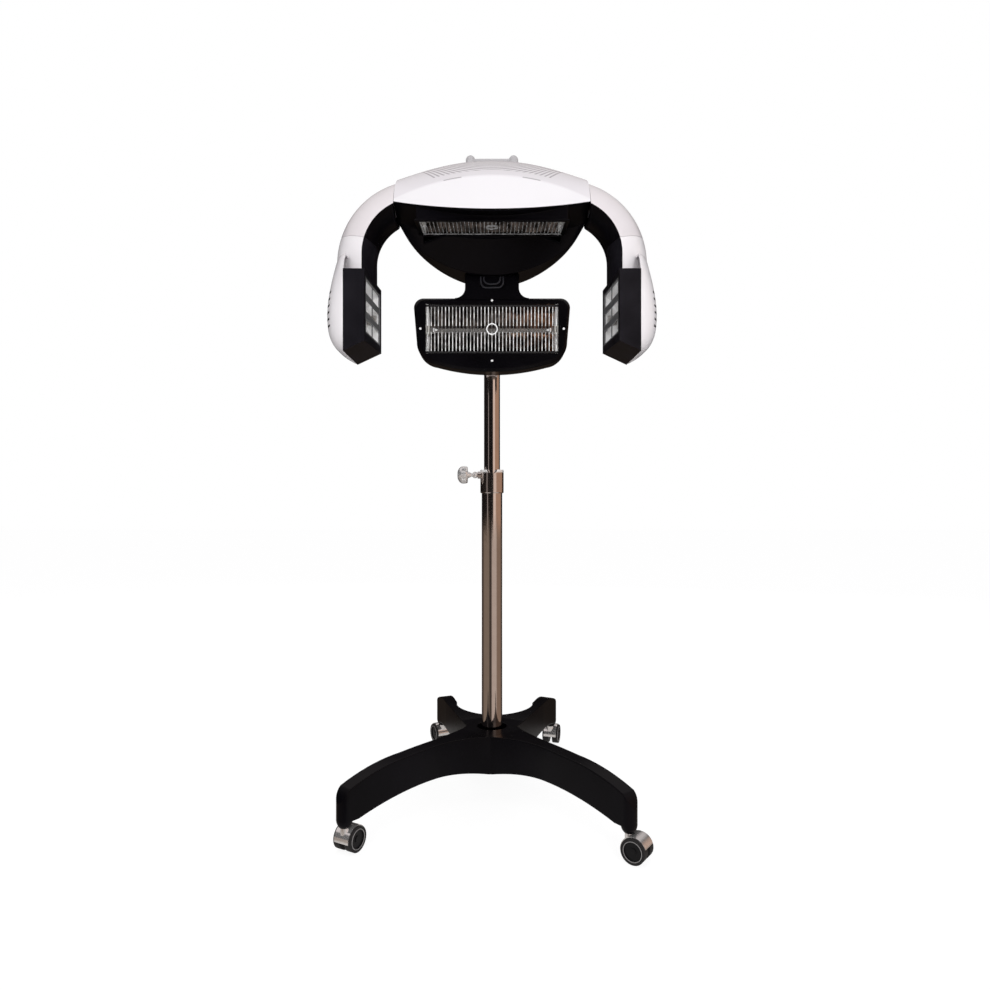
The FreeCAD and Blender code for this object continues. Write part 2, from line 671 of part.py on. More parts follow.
def lamp_holders(half, deep):
    """Two ceramic holders on the end walls of the reflector."""
    middle = WALL + deep * TUBE_DEPTH
    size = HOLDER_HALF
    blocks = []
    for way in (-1, 1):
        near, far = sorted((way * (half - CERAMIC[1]), way * (half - SHEET)))
        blocks.append(box(near, far, middle - size, middle + size, -size, size))
    return Part.makeCompound(blocks)



def wire_guard(half, high):
    """Upright wires on two flat strips behind the opening, with a ring at the middle."""
    reach = high / 2 - GUARD_IN
    seat = WALL + GUARD_WIRE_R
    near, far = seat - GUARD_STRIP_T / 2, seat + GUARD_STRIP_T / 2
    count = int(2 * (half - GUARD_STRIP) / GUARD_PITCH)
    first = -GUARD_PITCH * count / 2
    pieces = [box(-half + SHEET, half - SHEET, near, far, way * reach - GUARD_STRIP / 2,
                  way * reach + GUARD_STRIP / 2) for way in (-1, 1)]
    for step in range(count + 1):
        x = first + step * GUARD_PITCH
        pieces.append(rod(GUARD_WIRE_R, V(x, seat, -reach), V(x, seat, reach)))
    ring = V(0, GUARD_RING_T / 2, 0)
    middle = V(0, seat, 0)
    pieces.append(tube(GUARD_RING_R, GUARD_RING_R - GUARD_RING_W, middle - ring, middle + ring))
    return join(pieces)



def lamp_module(half, high, deep):
    return {"reflector": reflector(half, high, deep), "infrared_tube": lamp_tube(half, deep),
            "tube_holders": lamp_holders(half, deep), "wire_guard": wire_guard(half, high)}


# ---------------------------------------------------------------- back unit

def panel_outline(inset, y):
    """Outline of the back unit from the front, shrunk evenly by inset."""
    top, low = PANEL_TOP - inset, PANEL_BOTTOM + inset
    half = PANEL_HALF - inset
    corner = PANEL_CORNER
    cut = corner * CORNER_SHARE

    def at(x, z):
        return V(x, y, z)
    right = [at(half - corner, top), at(half - cut, top - cut), at(half, top - corner)]
    right += [at(half - x, low + z) for x, z in (PANEL_SIDE, PANEL_BEND, PANEL_CHIN)]
    left = [at(-point.x, point.z) for point in right]
    edges = [line(left[0], right[0]), arc(*right[:3]), line(right[2], right[3]), arc(*right[3:]),
             arc(right[5], at(0, low), left[5]),
             arc(*left[3:]), line(left[3], left[2]), arc(*left[:3])]
    return Part.Wire(Part.__sortEdges__(edges))



def panel_loft(inset_front, inset_rear, front, rear):
    return Part.makeLoft([panel_outline(inset_front, front), panel_outline(inset_rear, rear)],
                         True, True)


def neck():
    """Neck of the back unit with a rounded top that carries the tilt pin."""
    flare, half, over = NECK_FLARE, NECK_HALF, NECK_OVER
    base = PANEL_TOP - 2
    lift = PANEL_TOP + flare
    high = TILT_Z + KNUCKLE_R + 5
    curve = flare * CORNER_SHARE

    def at(x, z):
        return V(x, NECK_FRONT, z)

    def both(x, z):
        return at(-x, z), at(x, z)
    foot_l, foot_r = both(half + flare, base)
    root_l, root_r = both(half + flare, PANEL_TOP)
    bend_l, bend_r = both(half + curve, PANEL_TOP + curve)
    side_l, side_r = both(half, lift)
    top_l, top_r = both(half, high)
    edges = [line(foot_l, foot_r), line(foot_r, root_r), arc(root_r, bend_r, side_r),
             line(side_r, top_r), line(top_r, top_l), line(top_l, side_l),
             arc(side_l, bend_l, root_l), line(root_l, foot_l)]
    body = prism(Part.Wire(edges), V(0, NECK_REAR - NECK_FRONT, 0))
    front, rear = NECK_FRONT - 5, NECK_REAR + 5
    head = rod(KNUCKLE_R, V(-half - over, TILT_Y, TILT_Z), V(half + over, TILT_Y, TILT_Z))
    below = box(-half - over, half + over, front, rear, base - 5, TILT_Z)
    body = body.common(head.fuse(below))
    slot = TONGUE_HALF + GAP
    seat = rod(KNUCKLE_R + GAP, V(-slot, TILT_Y, TILT_Z), V(slot, TILT_Y, TILT_Z))
    above = box(-slot, slot, front, rear, TILT_Z, high + 5)
    body = body.cut(seat.fuse(above))
    pin = half - PIN_SHORT
    return body.cut(rod(TILT_PIN_R, V(-pin, TILT_Y, TILT_Z), V(pin, TILT_Y, TILT_Z)))



def back_housing():
    """Black front shell with the lamp opening and the neck."""
    bevel, deep = PANEL_BEVEL
    front, step = PANEL_FRONT, PANEL_FRONT + deep
    outer = panel_loft(bevel, 0.0, front, step)
    outer = outer.fuse(panel_loft(0.0, 0.0, step, PANEL_SPLIT))
    inner = panel_loft(WALL + 2, WALL, front + WALL, step + WALL)
    inner = inner.fuse(panel_loft(WALL, WALL, step + WALL, PANEL_SPLIT))
    shell = outer.cut(inner)
    half, high = SLOT_HALF - RIM, SLOT_H / 2 - RIM
    opening = box(-half, half, front - 1, front + WALL + 1, LAMP_Z - high, LAMP_Z + high)
    shell = shell.cut(opening)
    posts = [rod(POST_R, V(x, front + 1, z), V(x, PANEL_SPLIT, z)) for x, z in POSTS]
    shell = shell.fuse([post.common(outer) for post in posts])
    slot = TONGUE_HALF + GAP
    seat = rod(KNUCKLE_R + GAP, V(-slot, TILT_Y, TILT_Z), V(slot, TILT_Y, TILT_Z))
    return join([shell, neck()]).cut(seat)



def rear_cover():
    """Tapered cover round the mast socket, vented at the top."""
    y = PANEL_REAR
    taper = REAR_TAPER
    shell = panel_loft(0.0, taper, PANEL_SPLIT, y)
    shell = shell.cut(panel_loft(WALL, taper + WALL, PANEL_SPLIT, y - WALL))
    mast_low, mast_high = V(0, 0, PANEL_BOTTOM - 20), V(0, 0, LAMP_Z)
    shell = shell.cut(rod(MAST_R + 1.5, mast_low, mast_high))
    under_neck = NECK_HALF + NECK_FLARE + 1
    shell = shell.cut(box(-under_neck, under_neck, PANEL_SPLIT - 5, NECK_REAR + GAP,
                          PANEL_TOP - 2 - GAP, PANEL_TOP + 5))
    half, high = INLET_BODY[0] + GAP, INLET_BODY[1] / 2 + GAP
    shell = shell.cut(box(INLET_X - half, INLET_X + half, y - 40, y + 5,
                          CONTROL_Z - high, CONTROL_Z + high))
    shaft = V(TIMER_X, y, CONTROL_Z)
    shell = shell.cut(rod(TIMER_SHAFT_R + GAP, shaft - Y_AXIS * 5, shaft + Y_AXIS * 5))
    for row in range(VENT_ROWS):
        z = LAMP_Z + VENT_ABOVE + row * VENT_PITCH
        for way in (-1, 1):
            low, high = sorted(way * x for x in VENT_SPAN)
            shell = shell.cut(box(low, high, 0, y + 5, z, z + VENT_W))
    return shell



def mast_socket():
    """Sleeve that turns on the mast, welded to the chassis plate of the back unit."""
    mast_end = MAST_TOP + MAST_CAP
    low, high = V(0, 0, PANEL_BOTTOM + SLEEVE_LOW), V(0, 0, mast_end + WALL + 1)
    sleeve = rod(MAST_R + SLEEVE_T, low, high)
    plate = prism(panel_outline(WALL + 4, PANEL_SPLIT), V(0, CHASSIS_T, 0))
    body = sleeve.fuse(plate)
    return body.cut(rod(MAST_R + RUN, low - V(0, 0, 5), V(0, 0, mast_end + 0.2)))



def round_screws(places, radius, along):
    """Round-headed screws; along points out of the surface."""
    screws = []
    for at in places:
        head = Part.makeSphere(radius, at, along, 0, 90, 360)
        screws.append(head.fuse(rod(radius * 0.45, at - along * 2.5, at)))
    return Part.makeCompound(screws)


def build_back_unit():
    housing = back_housing()
    down, aside = SCREW_IN
    side = PANEL_HALF - aside
    places = [V(0, PANEL_FRONT, PANEL_TOP - down), V(0, PANEL_FRONT, PANEL_BOTTOM + SCREW_LOW),
              V(-side, PANEL_FRONT, LAMP_Z), V(side, PANEL_FRONT, LAMP_Z)]
    screws = round_screws(places, SCREW_R, V(0, -1, 0))
    for solid in screws.Solids:
        housing = housing.cut(solid)
    save("back_housing", housing)
    save("panel_screws", screws)
    save("rear_cover", rear_cover())
    save("mast_socket", mast_socket())
    lamp = lamp_module(SLOT_HALF, SLOT_H, SLOT_DEPTH)
    for piece, shape in lamp.items():
        save("back_" + piece, moved(shape, V(0, PANEL_FRONT, LAMP_Z)))
    reach = NECK_HALF - PIN_SHORT
    save("tilt_pin", rod(TILT_PIN_R, V(-reach, TILT_Y, TILT_Z), V(reach, TILT_Y, TILT_Z)))
    build_controls()



def rounded_plate(half, high, radius):
    """Upright plate on the rear face, its four corners rounded."""
    plate = box(-half, half, PANEL_REAR, PANEL_REAR + CONTROL_T, -high / 2, high / 2)
    corners = [e for e in plate.Edges if e.BoundBox.YLength > CONTROL_T - 0.01
               and e.Length < CONTROL_T + 0.01]
    return plate.makeFillet(radius, corners)


def build_controls():
    """Control strip, timer knob, power rocker and mains inlet, drawn about z = 0."""
    y = PANEL_REAR
    face = y + CONTROL_T
    lift = V(0, 0, CONTROL_Z)
    strip = rounded_plate(CONTROL_HALF, CONTROL_H, CONTROL_CORNER)
    strip = strip.cut(rod(TIMER_SHAFT_R + RUN, V(TIMER_X, y - 1, 0), V(TIMER_X, face + 1, 0)))
    half, high = ROCKER_HALF, ROCKER_H / 2
    strip = strip.cut(box(ROCKER_X - half, ROCKER_X + half, y - 1, face + 1, -high, high))
    save("control_panel", moved(strip, lift))
    near, far = V(TIMER_X, face + 0.5, 0), V(TIMER_X, face + 0.5 + TIMER_H, 0)
    knob = rod(TIMER_R, near, far)
    knob = knob.makeChamfer(1.5, [e for e in knob.Edges if abs(e.BoundBox.YMin - far.y) < 0.01])
    wide, start, end = POINTER
    groove = box(TIMER_X - wide, TIMER_X + wide, far.y - wide, far.y + 1, start, end)
    shaft = rod(TIMER_SHAFT_R, V(TIMER_X, y + 0.2, 0), V(TIMER_X, near.y + 1, 0))
    save("timer_knob", moved(join([knob.cut(groove), shaft]), lift))
    half, high = half - GAP, high - 0.6
    outline = ((1, -high), (face - y + 1.7, -high), (face - y + 0.7, 0), (face - y + 3.9, high), (1, high))
    rocker = prism(lines([V(ROCKER_X - half, y + out, z) for out, z in outline]), V(2 * half, 0, 0))
    save("power_rocker", moved(rocker, lift))
    half, high = INLET_BODY[0], INLET_BODY[1] / 2
    wall, floor = INLET_WALL, y - INLET_DEEP
    socket = rounded_plate(INLET_HALF, INLET_H, 3.0)
    socket = socket.fuse(box(-half, half, floor, y + 0.5, -high, high))
    socket = socket.cut(box(-half + wall, half - wall, floor + wall, face + 1,
                            -high + wall, high - wall))
    wide, tall = INLET_PIN
    pins = [box(x - wide, x + wide, floor + wall, y - 6, z - tall, z + tall)
            for x, z in INLET_PINS]
    save("mains_inlet", moved(join([socket] + pins), lift + V(INLET_X, 0, 0)))



# ---------------------------------------------------------------- top unit

def hood_profile(x):
    """Side profile of the top unit at x: the middle profile eased into the end profile."""
    share = (x / HOOD_HALF) ** 2
    round_half = HOOD_HALF + BOWL_OVER
    bowl = (1 - math.sqrt(1 - (x / round_half) ** 2))
    bowl = bowl / (1 - math.sqrt(1 - (HOOD_HALF / round_half) ** 2))
    points = {}
    for key, (y0, z0) in MID_PROFILE.items():
        y1, z1 = END_PROFILE[key]
        lift = bowl if key in ("heel", "toe", "bay") else share
        points[key] = V(x, y0 + (y1 - y0) * share, z0 + (z1 - z0) * lift)
    return points


def hood_section(x, inset):
    p = hood_profile(x)
    edges = [line(p["lip"], p["crease"]), arc(p["crease"], p["roof"], p["crest"]),
             arc(p["crest"], p["back"], p["rear"]), arc(p["rear"], p["tail"], p["heel"]),
             line(p["heel"], p["toe"]), line(p["toe"], p["bay"]), line(p["bay"], p["lip"])]
    wire = Part.Wire(edges)
    return wire.makeOffset2D(-inset, 2) if inset else wire


def hood_loft(inset, reach):
    return Part.makeLoft([hood_section(reach * share, inset) for share in STATIONS], True, False)


def lip_prism(above):
    """Everything above (or below) the parting face, which climbs backwards from the lip."""
    y0, y1 = MID_PROFILE["lip"][0] - 58, MID_PROFILE["rear"][0] + 72
    lip_y, lip_mid = MID_PROFILE["lip"]
    end_y, lip_end = END_PROFILE["lip"]
    lip_mid += PART_SLOPE * (y0 - lip_y)
    lip_end += PART_SLOPE * (y0 - end_y)
    wide = HOOD_HALF + 30
    rise = (lip_end - lip_mid) * (wide / HOOD_HALF) ** 2
    limit = MID_PROFILE["crest"][1] + 210 if above else MID_PROFILE["heel"][1] - 305
    left, right = V(-wide, y0, lip_mid + rise), V(wide, y0, lip_mid + rise)
    edges = [arc(left, V(0, y0, lip_mid), right), line(right, V(wide, y0, limit)),
             line(V(wide, y0, limit), V(-wide, y0, limit)), line(V(-wide, y0, limit), left)]
    return prism(Part.Wire(edges), V(0, y1 - y0, PART_SLOPE * (y1 - y0)))



def top_lamp(shape):
    """Carry a lamp piece from its local frame to the underside of the top unit."""
    return moved(turned(shape, 90 + TOP_LAMP_LEAN, X_AXIS), V(0, TOP_LAMP_Y, TOP_LAMP_Z))


def carry_handle():
    """Bar on two domed bosses across the crest of the top cover."""
    y, z, half = HANDLE_Y, HANDLE_Z, HANDLE_HALF
    pieces = [rod(HANDLE_BAR_R, V(-half, y, z), V(half, y, z))]
    for way in (-1, 1):
        crown = V(way * half, y, z + HANDLE_DOME)
        pieces.append(rod(HANDLE_BOSS_R, crown - V(0, 0, HANDLE_BOSS_R * 5), crown))
        pieces.append(Part.makeSphere(HANDLE_BOSS_R, crown))
    return join(pieces)



def lamp_frame():
    """Frame and skirt round the top lamp's slot."""
    half, high = SLOT_HALF, SLOT_H / 2
    edge = FRAME_EDGE
    frame = box(-half - edge, half + edge, 0, WALL, -high - edge, high + edge)
    skirt = box(-half - WALL, half + WALL, 0, SLOT_DEPTH + 2, -high - WALL, high + WALL)
    return top_lamp(frame.fuse(skirt))


def lamp_hollow():
    """Room for the reflector inside the skirt, and the open window below it."""
    half, high = SLOT_HALF, SLOT_H / 2
    window = box(-half + RIM, half - RIM, -SLOT_DEPTH, WALL + 1, -high + RIM, high - RIM)
    hollow = box(-half - GAP, half + GAP, WALL, SLOT_DEPTH + FRAME_EDGE, -high - GAP, high + GAP)
    return top_lamp(window.fuse(hollow))


def tilt_rod(radius, half):
    """Round bar along the tilt axis."""
    return rod(radius, V(-half, TILT_Y, TILT_Z), V(half, TILT_Y, TILT_Z))


def build_top_unit():
    outer = hood_loft(0, HOOD_HALF)
    ring = outer.cut(hood_loft(WALL, HOOD_HALF))
    pocket = trough(SLOT_HALF + GAP, SLOT_H + 2 * GAP, SLOT_DEPTH + GAP, 0)
    cover = ring.common(lip_prism(True)).cut(top_lamp(moved(pocket, V(0, WALL, 0))))
    cover = max(cover.Solids, key=lambda solid: solid.Volume)
    relief = tilt_rod(KNUCKLE_R + GAP, NECK_HALF + GAP)
    roof = tilt_rod(KNUCKLE_R + GAP + WALL, NECK_HALF + GAP + WALL + 0.6).common(outer)
    tongue = tilt_rod(KNUCKLE_R, TONGUE_HALF)
    web = box(-TONGUE_HALF, TONGUE_HALF, TILT_Y - TONGUE_WEB, TILT_Y + TONGUE_WEB,
              TILT_Z, TILT_Z + TONGUE_RISE)
    shell = ring.common(lip_prism(False))
    shell = shell.fuse([lamp_frame(), roof]).cut(relief).cut(lamp_hollow())
    shell = join([shell, tongue, web]).cut(cover)
    shell = max(shell.Solids, key=lambda solid: solid.Volume)
    shell = shell.cut(tilt_rod(TILT_PIN_R + RUN, NECK_HALF))
    handle = carry_handle()
    save("carry_handle", handle.cut(outer))
    save("top_cover", cover)
    save("top_shell", shell)
    for piece, shape in lamp_module(SLOT_HALF, SLOT_H, SLOT_DEPTH).items():
        save("top_" + piece, top_lamp(shape))


# ---------------------------------------------------------------- arms

# An arm is drawn for the +X side: its section lies in the plane of the bend's axis and is
# turned about that axis. Angles are degrees from upright towards the side lamp.

def arm_face(inset):
    """Section of the band (y, radius) stood upright over the bend's axis."""
    def at(key):
        return V(ARM_X, key[0], ARM_Z + key[1])
    edges = [arc(at(ARM_NOSE), at(ARM_BROW), at(ARM_OUTER)),
             arc(at(ARM_OUTER), at(ARM_BACK), at(ARM_TAIL)),
             arc(at(ARM_TAIL), at(ARM_HEEL), at(ARM_INNER)),
             arc(at(ARM_INNER), at(ARM_CHIN), at(ARM_NOSE))]
    wire = Part.Wire(edges)
    return Part.Face(wire.makeOffset2D(-inset, 0) if inset else wire)


def arm_half(outside, hollow):
    """Section of the white cover (or black liner), parted from nose to tail."""
    limit = ARM_OUTER[1] + 65 if outside else ARM_INNER[1] - 48
    slope = (ARM_TAIL[1] - ARM_NOSE[1]) / (ARM_TAIL[0] - ARM_NOSE[0])
    front, rear = ARM_NOSE[0] - 60, ARM_TAIL[0] + 60
    corners = [(front, ARM_NOSE[1] - 60 * slope), (rear, ARM_TAIL[1] + 60 * slope),
               (rear, limit), (front, limit)]
    side = Part.Face(lines([V(ARM_X, y, ARM_Z + radius) for y, radius in corners]))
    section = arm_face(0).cut(arm_face(WALL)) if hollow else arm_face(0)
    return section.common(side).Faces[0]


def bend(face, start, end):
    """Turn an upright section about the bend's axis from start to end."""
    edges = [e.Curve.toBSpline(e.FirstParameter, e.LastParameter).toShape()
             for e in face.OuterWire.Edges]
    smooth = Part.Face(Part.Wire(Part.__sortEdges__(edges)))
    begun = turned(smooth, start, Y_AXIS, V(ARM_X, 0, ARM_Z))
    return begun.revolve(V(ARM_X, 0, ARM_Z), Y_AXIS, end - start)


def arm_point(angle, radius, y):
    turn = math.radians(angle)
    return V(ARM_X + radius * math.sin(turn), y, ARM_Z + radius * math.cos(turn))


def arm_shell(outside):
    band = bend(arm_half(outside, True), ARM_START, ARM_END)
    return band.common(box(ARM_SEAM, ARM_SEAM + 220, SIDE_FRONT - 60, 0, HINGE_Z - 350, HINGE_Z + 150))



def arm_frame():
    """Steel strip inside the arm with the hinge knuckles above and the swivel socket below."""
    low, high = STRIP_R
    front, rear = STRIP_Y
    strip = lines([V(ARM_X, y, ARM_Z + r) for y, r in ((front, low), (rear, low),
                                                       (rear, high), (front, high))])
    near, far = (ARM_END - share for share in PLATE_DEGREES)
    body = bend(Part.Face(strip), STRIP_START, near)
    plate = bend(arm_face(WALL), far, near)
    hinge = V(HINGE_X, 0, HINGE_Z)
    knuckles = []
    for y0, y1 in ((HINGE_Y[0], HINGE_LUG[0] - GAP), (HINGE_LUG[1] + GAP, HINGE_Y[1])):
        knuckles.append(rod(HINGE_R, hinge + V(0, y0, 0), hinge + V(0, y1, 0)))
        leaf = [hinge + V(0, y0, HINGE_LEAF), hinge + V(0, y0, -HINGE_R)]
        leaf += [V(x, y0, z) for x, z in LEAF_TIP]
        knuckles.append(prism(lines(leaf), V(0, y1 - y0, 0)))
    body = join([body, plate] + knuckles)
    pin = V(0, HINGE_Y[1] - HINGE_Y[0], 0)
    start = hinge + V(0, HINGE_Y[0], 0) - pin
    body = body.cut(rod(HINGE_PIN_R + RUN, start, start + pin * 3))
    return body.cut(swivel_pin(SWIVEL_R + RUN, SWIVEL_UP + 28))



def hinge_lug():
    """Lug of the top unit that stands between the arm's knuckles, with its pin."""
    hinge = V(HINGE_X, 0, HINGE_Z)
    y0, y1 = HINGE_LUG
    low, high = HINGE_Z - HINGE_R, HINGE_Z + HINGE_LEAF
    lug = rod(HINGE_R, hinge + V(0, y0, 0), hinge + V(0, y1, 0))
    leaf = box(LUG_ROOT, HINGE_X, y0, y1, low, high)
    pin = rod(HINGE_PIN_R, hinge + V(0, HINGE_Y[0], 0), hinge + V(0, HINGE_Y[1], 0))
    foot = box(*LUG_FOOT, y0 - LUG_FOOT_WIDE, y1 + LUG_FOOT_WIDE, low, low + 2 * SIDE_HALF)
    foot = foot.common(hood_loft(WALL, HOOD_HALF))
    return join([lug, leaf, pin, foot])



def swivel_pin(radius, up):
    """Pin of the side lamp, square to the seam of the arm."""
    seat = arm_point(ARM_END, *SWIVEL_SEAT)
    away = V(math.sin(math.radians(ARM_END + 90)), 0, math.cos(math.radians(ARM_END + 90)))
    return rod(radius, seat + away * SWIVEL_DOWN, seat - away * up)



# ---------------------------------------------------------------- side lamps

def side_neck(outside, hollow, start):
    """Band below the seam: the last of the bend, then a straight run into the lamp."""
    section = arm_half(outside, hollow)
    straight = turned(section, 90, Y_AXIS, V(ARM_X, 0, ARM_Z)).extrude(V(0, 0, -NECK_RUN))
    return join([bend(section, start, 90), straight])


def side_case(inset):
    """Black box of a side lamp: toed in, with a bottom that slopes down outwards."""
    front, rear = SIDE_FRONT + inset, SIDE_REAR - inset
    plan = lines([V(SIDE_INNER_FRONT + inset, front, 0), V(SIDE_OUTER, front, 0),
                  V(SIDE_OUTER, rear, 0), V(SIDE_INNER_REAR + inset, rear, 0)])
    lean = (SIDE_BOTTOM_IN - SIDE_BOTTOM_OUT) / (SIDE_OUTER - SIDE_INNER_REAR)
    inner, outer = SIDE_INNER_REAR - 10, SIDE_OUTER + 1
    top, base = SIDE_TOP - inset, SIDE_BOTTOM_IN + inset
    ahead = SIDE_FRONT - 50
    side = lines([V(inner, ahead, top), V(outer, ahead, top),
                  V(outer, ahead, base - lean * (outer - SIDE_INNER_REAR)),
                  V(inner, ahead, base + lean * 10)])
    return prism(plan, V(0, 0, SIDE_TOP + 100)).common(prism(side, V(0, -ahead, 0)))



def side_window():
    lean = math.atan2(SIDE_INNER_FRONT - SIDE_INNER_REAR, SIDE_REAR - SIDE_FRONT)
    middle = V((SIDE_INNER_FRONT + SIDE_INNER_REAR) / 2, (SIDE_FRONT + SIDE_REAR) / 2,
               (SIDE_TOP + SIDE_BOTTOM_IN) / 2)
    return middle, math.degrees(lean)


def side_place(shape):
    """Carry a lamp piece from its local frame to the inner face of the +X side lamp."""
    middle, lean = side_window()
    return moved(turned(shape, lean - 90), middle)


def side_housing():
    shell = side_case(0).cut(side_case(WALL))
    outer = box(SIDE_OUTER - 0.01, SIDE_OUTER + 50, SIDE_FRONT - 1, 0, 0, SIDE_TOP + 100)
    window = box(-SIDE_HALF, SIDE_HALF, -2 * FRAME_EDGE, WALL + 2, -SIDE_H / 2, SIDE_H / 2)
    shell = shell.cut(outer).cut(side_place(window))
    neck_half = side_neck(False, True, ARM_END + SEAM_GAP)
    shell = shell.cut(side_neck(False, False, ARM_END))
    return join([shell, neck_half])



def cover_plan(z, outer, front, rear, inset):
    """Outline of the outer cover from above at one height, shrunk by its wall."""
    front, rear, outer = front + inset, rear - inset, outer - inset
    span, reach = rear - front, outer - SIDE_OUTER

    def at(out, back):
        return V(SIDE_OUTER + reach * out, front + span * back, z)
    peak, end = at(1, COVER_PEAK), at(COVER_END, 1)
    edges = [arc(at(0, 0), at(*COVER_BROW), peak), arc(peak, at(*COVER_REAR), end),
             line(end, at(0, 1)), line(at(0, 1), at(0, 0))]
    return Part.Wire(edges)



def cover_loft(inset):
    rows = [cover_plan(z, outer, front, rear, inset) for z, outer, front, rear in COVER_ROWS]
    rows[0].translate(V(0, 0, inset))
    rows[-1].translate(V(0, 0, -inset))
    return Part.makeLoft(rows, True, False)


def side_cover():
    """White outer cover: a thin shell that bulges outwards, rounded under, with vents."""
    shell = cover_loft(0).cut(cover_loft(WALL))
    low, high, step = SIDE_VENT_LOW, SIDE_VENT_HIGH, SIDE_VENT_STEP
    rows = int(round((high - low) / step)) + 1
    near = SIDE_OUTER + SIDE_VENT_IN
    slots = []
    for row in range(rows):
        z = low + step * row
        slots.append(box(near, near + 40, SIDE_VENT_FRONT, SIDE_VENT_REAR, z - SIDE_VENT_HALF,
                         z + SIDE_VENT_HALF))
    neck_outer = side_neck(True, True, ARM_END + SEAM_GAP)
    hole = side_neck(True, False, ARM_END)
    band = neck_outer.cut(side_case(0).fuse(moved(side_case(0), V(0, 0, GAP))))
    return join([shell.cut(hole), band]).cut(slots)



def louvre():
    """Frame with two broad bars across the side lamp's opening and a thin upright stay."""
    deep, edge = WALL, LOUVRE_FRAME
    half, high = SIDE_HALF, SIDE_H / 2
    frame = box(-half, half, 0, deep, -high, high).cut(
        box(-half + edge, half - edge, -1, deep + 1, -high + edge, high - edge))
    bars = [box(-half + 1, half - 1, deep / 5, deep, z - LOUVRE_BAR_HALF, z + LOUVRE_BAR_HALF)
            for z in (-LOUVRE_BAR_Z, LOUVRE_BAR_Z)]
    stay = box(-LOUVRE_STAY_HALF, LOUVRE_STAY_HALF, deep * 0.4, deep, -high + 1, high - 1)
    return join([frame, stay] + bars)



def swivel_frame():
    """Plate and pin at the top of a side lamp's neck."""
    near, far = (ARM_END + share for share in SWIVEL_PLATE)
    plate = bend(arm_face(WALL), near, far)
    return join([plate, swivel_pin(SWIVEL_R, SWIVEL_UP)])



def build_sides():
    held_tube = Part.makeCompound([lamp_tube(SIDE_HALF, SIDE_DEPTH)]
                                  + lamp_holders(SIDE_HALF, SIDE_DEPTH).Solids)
    lamp = {"side_reflector": reflector(SIDE_HALF, SIDE_H, SIDE_DEPTH),
            "side_infrared_tube": held_tube, "side_louvre": louvre()}
    pieces = {piece: side_place(shape) for piece, shape in lamp.items()}
    pieces["arm_cover"] = arm_shell(True)
    pieces["arm_liner"] = arm_shell(False)
    pieces["arm_frame"] = arm_frame()
    pieces["side_housing"] = side_housing()
    pieces["side_swivel"] = swivel_frame()
    pieces["side_cover"] = side_cover()
    for piece, shape in pieces.items():
        save(piece + "_right", shape)
        save(piece + "_left", mirrored(shape))
    save("arm_hinge_lugs", Part.makeCompound([hinge_lug(), mirrored(hinge_lug())]))


build_base()
build_castors()
build_column()
build_back_unit()
build_top_unit()
build_sides()
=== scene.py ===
import json
import math

import bmesh
import bpy
from mathutils import Matrix, Vector


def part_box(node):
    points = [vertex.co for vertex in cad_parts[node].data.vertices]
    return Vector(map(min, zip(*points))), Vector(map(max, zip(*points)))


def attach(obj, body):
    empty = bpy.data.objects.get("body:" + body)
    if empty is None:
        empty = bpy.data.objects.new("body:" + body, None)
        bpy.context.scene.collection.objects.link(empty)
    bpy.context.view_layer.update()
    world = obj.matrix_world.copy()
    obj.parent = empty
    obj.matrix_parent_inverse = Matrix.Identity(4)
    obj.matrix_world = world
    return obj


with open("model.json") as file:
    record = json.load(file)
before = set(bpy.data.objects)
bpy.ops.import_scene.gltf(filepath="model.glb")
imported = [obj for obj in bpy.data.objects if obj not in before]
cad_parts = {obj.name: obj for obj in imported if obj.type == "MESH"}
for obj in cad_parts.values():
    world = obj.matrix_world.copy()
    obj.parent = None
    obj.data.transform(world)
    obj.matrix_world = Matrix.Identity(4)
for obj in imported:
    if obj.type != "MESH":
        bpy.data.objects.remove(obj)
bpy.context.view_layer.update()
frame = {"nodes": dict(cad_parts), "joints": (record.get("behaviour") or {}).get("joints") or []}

scene = bpy.context.scene
scene.view_settings.view_transform = "Standard"


# ------------------------------------------------------------------------------
# The salon floor and the camera that stands in front of it, at the height of the clamp.
# The lens sees the whole stand, from the castors to the carrying handle.

CAMERA_AWAY = 1.6
CAMERA_HEIGHT = 0.646
PICTURE_WIDTH = 990
FOCAL_PIXELS = 729.0
MIDDLE_SHIFT = 3.0       # pixels between the column and the picture's middle

lens = bpy.data.cameras.new("front_view")
lens.sensor_width = 36.0
lens.lens = FOCAL_PIXELS / PICTURE_WIDTH * lens.sensor_width
lens.shift_x = MIDDLE_SHIFT / PICTURE_WIDTH
lens.clip_end = 60.0
camera = bpy.data.objects.new("front_view", lens)
camera.location = (0.0, -CAMERA_AWAY, CAMERA_HEIGHT)
camera.rotation_euler = (math.pi / 2, 0.0, 0.0)
scene.collection.objects.link(camera)
scene.camera = camera


class Value:
    """A number on its way through a finish, so that a pattern is written as a sum."""

    def __init__(self, finish, socket):
        self.finish = finish
        self.socket = socket

    def __add__(self, other):
        return self.finish.sum("ADD", self, other)

    def __radd__(self, other):
        return self.finish.sum("ADD", other, self)

    def __sub__(self, other):
        return self.finish.sum("SUBTRACT", self, other)

    def __rsub__(self, other):
        return self.finish.sum("SUBTRACT", other, self)

    def __mul__(self, other):
        return self.finish.sum("MULTIPLY", self, other)

    def __truediv__(self, other):
        return self.finish.sum("DIVIDE", self, other)

    def __lt__(self, other):
        return self.finish.sum("LESS_THAN", self, other)

    def __gt__(self, other):
        return self.finish.sum("GREATER_THAN", self, other)

    def __abs__(self):
        return self.finish.sum("ABSOLUTE", self)


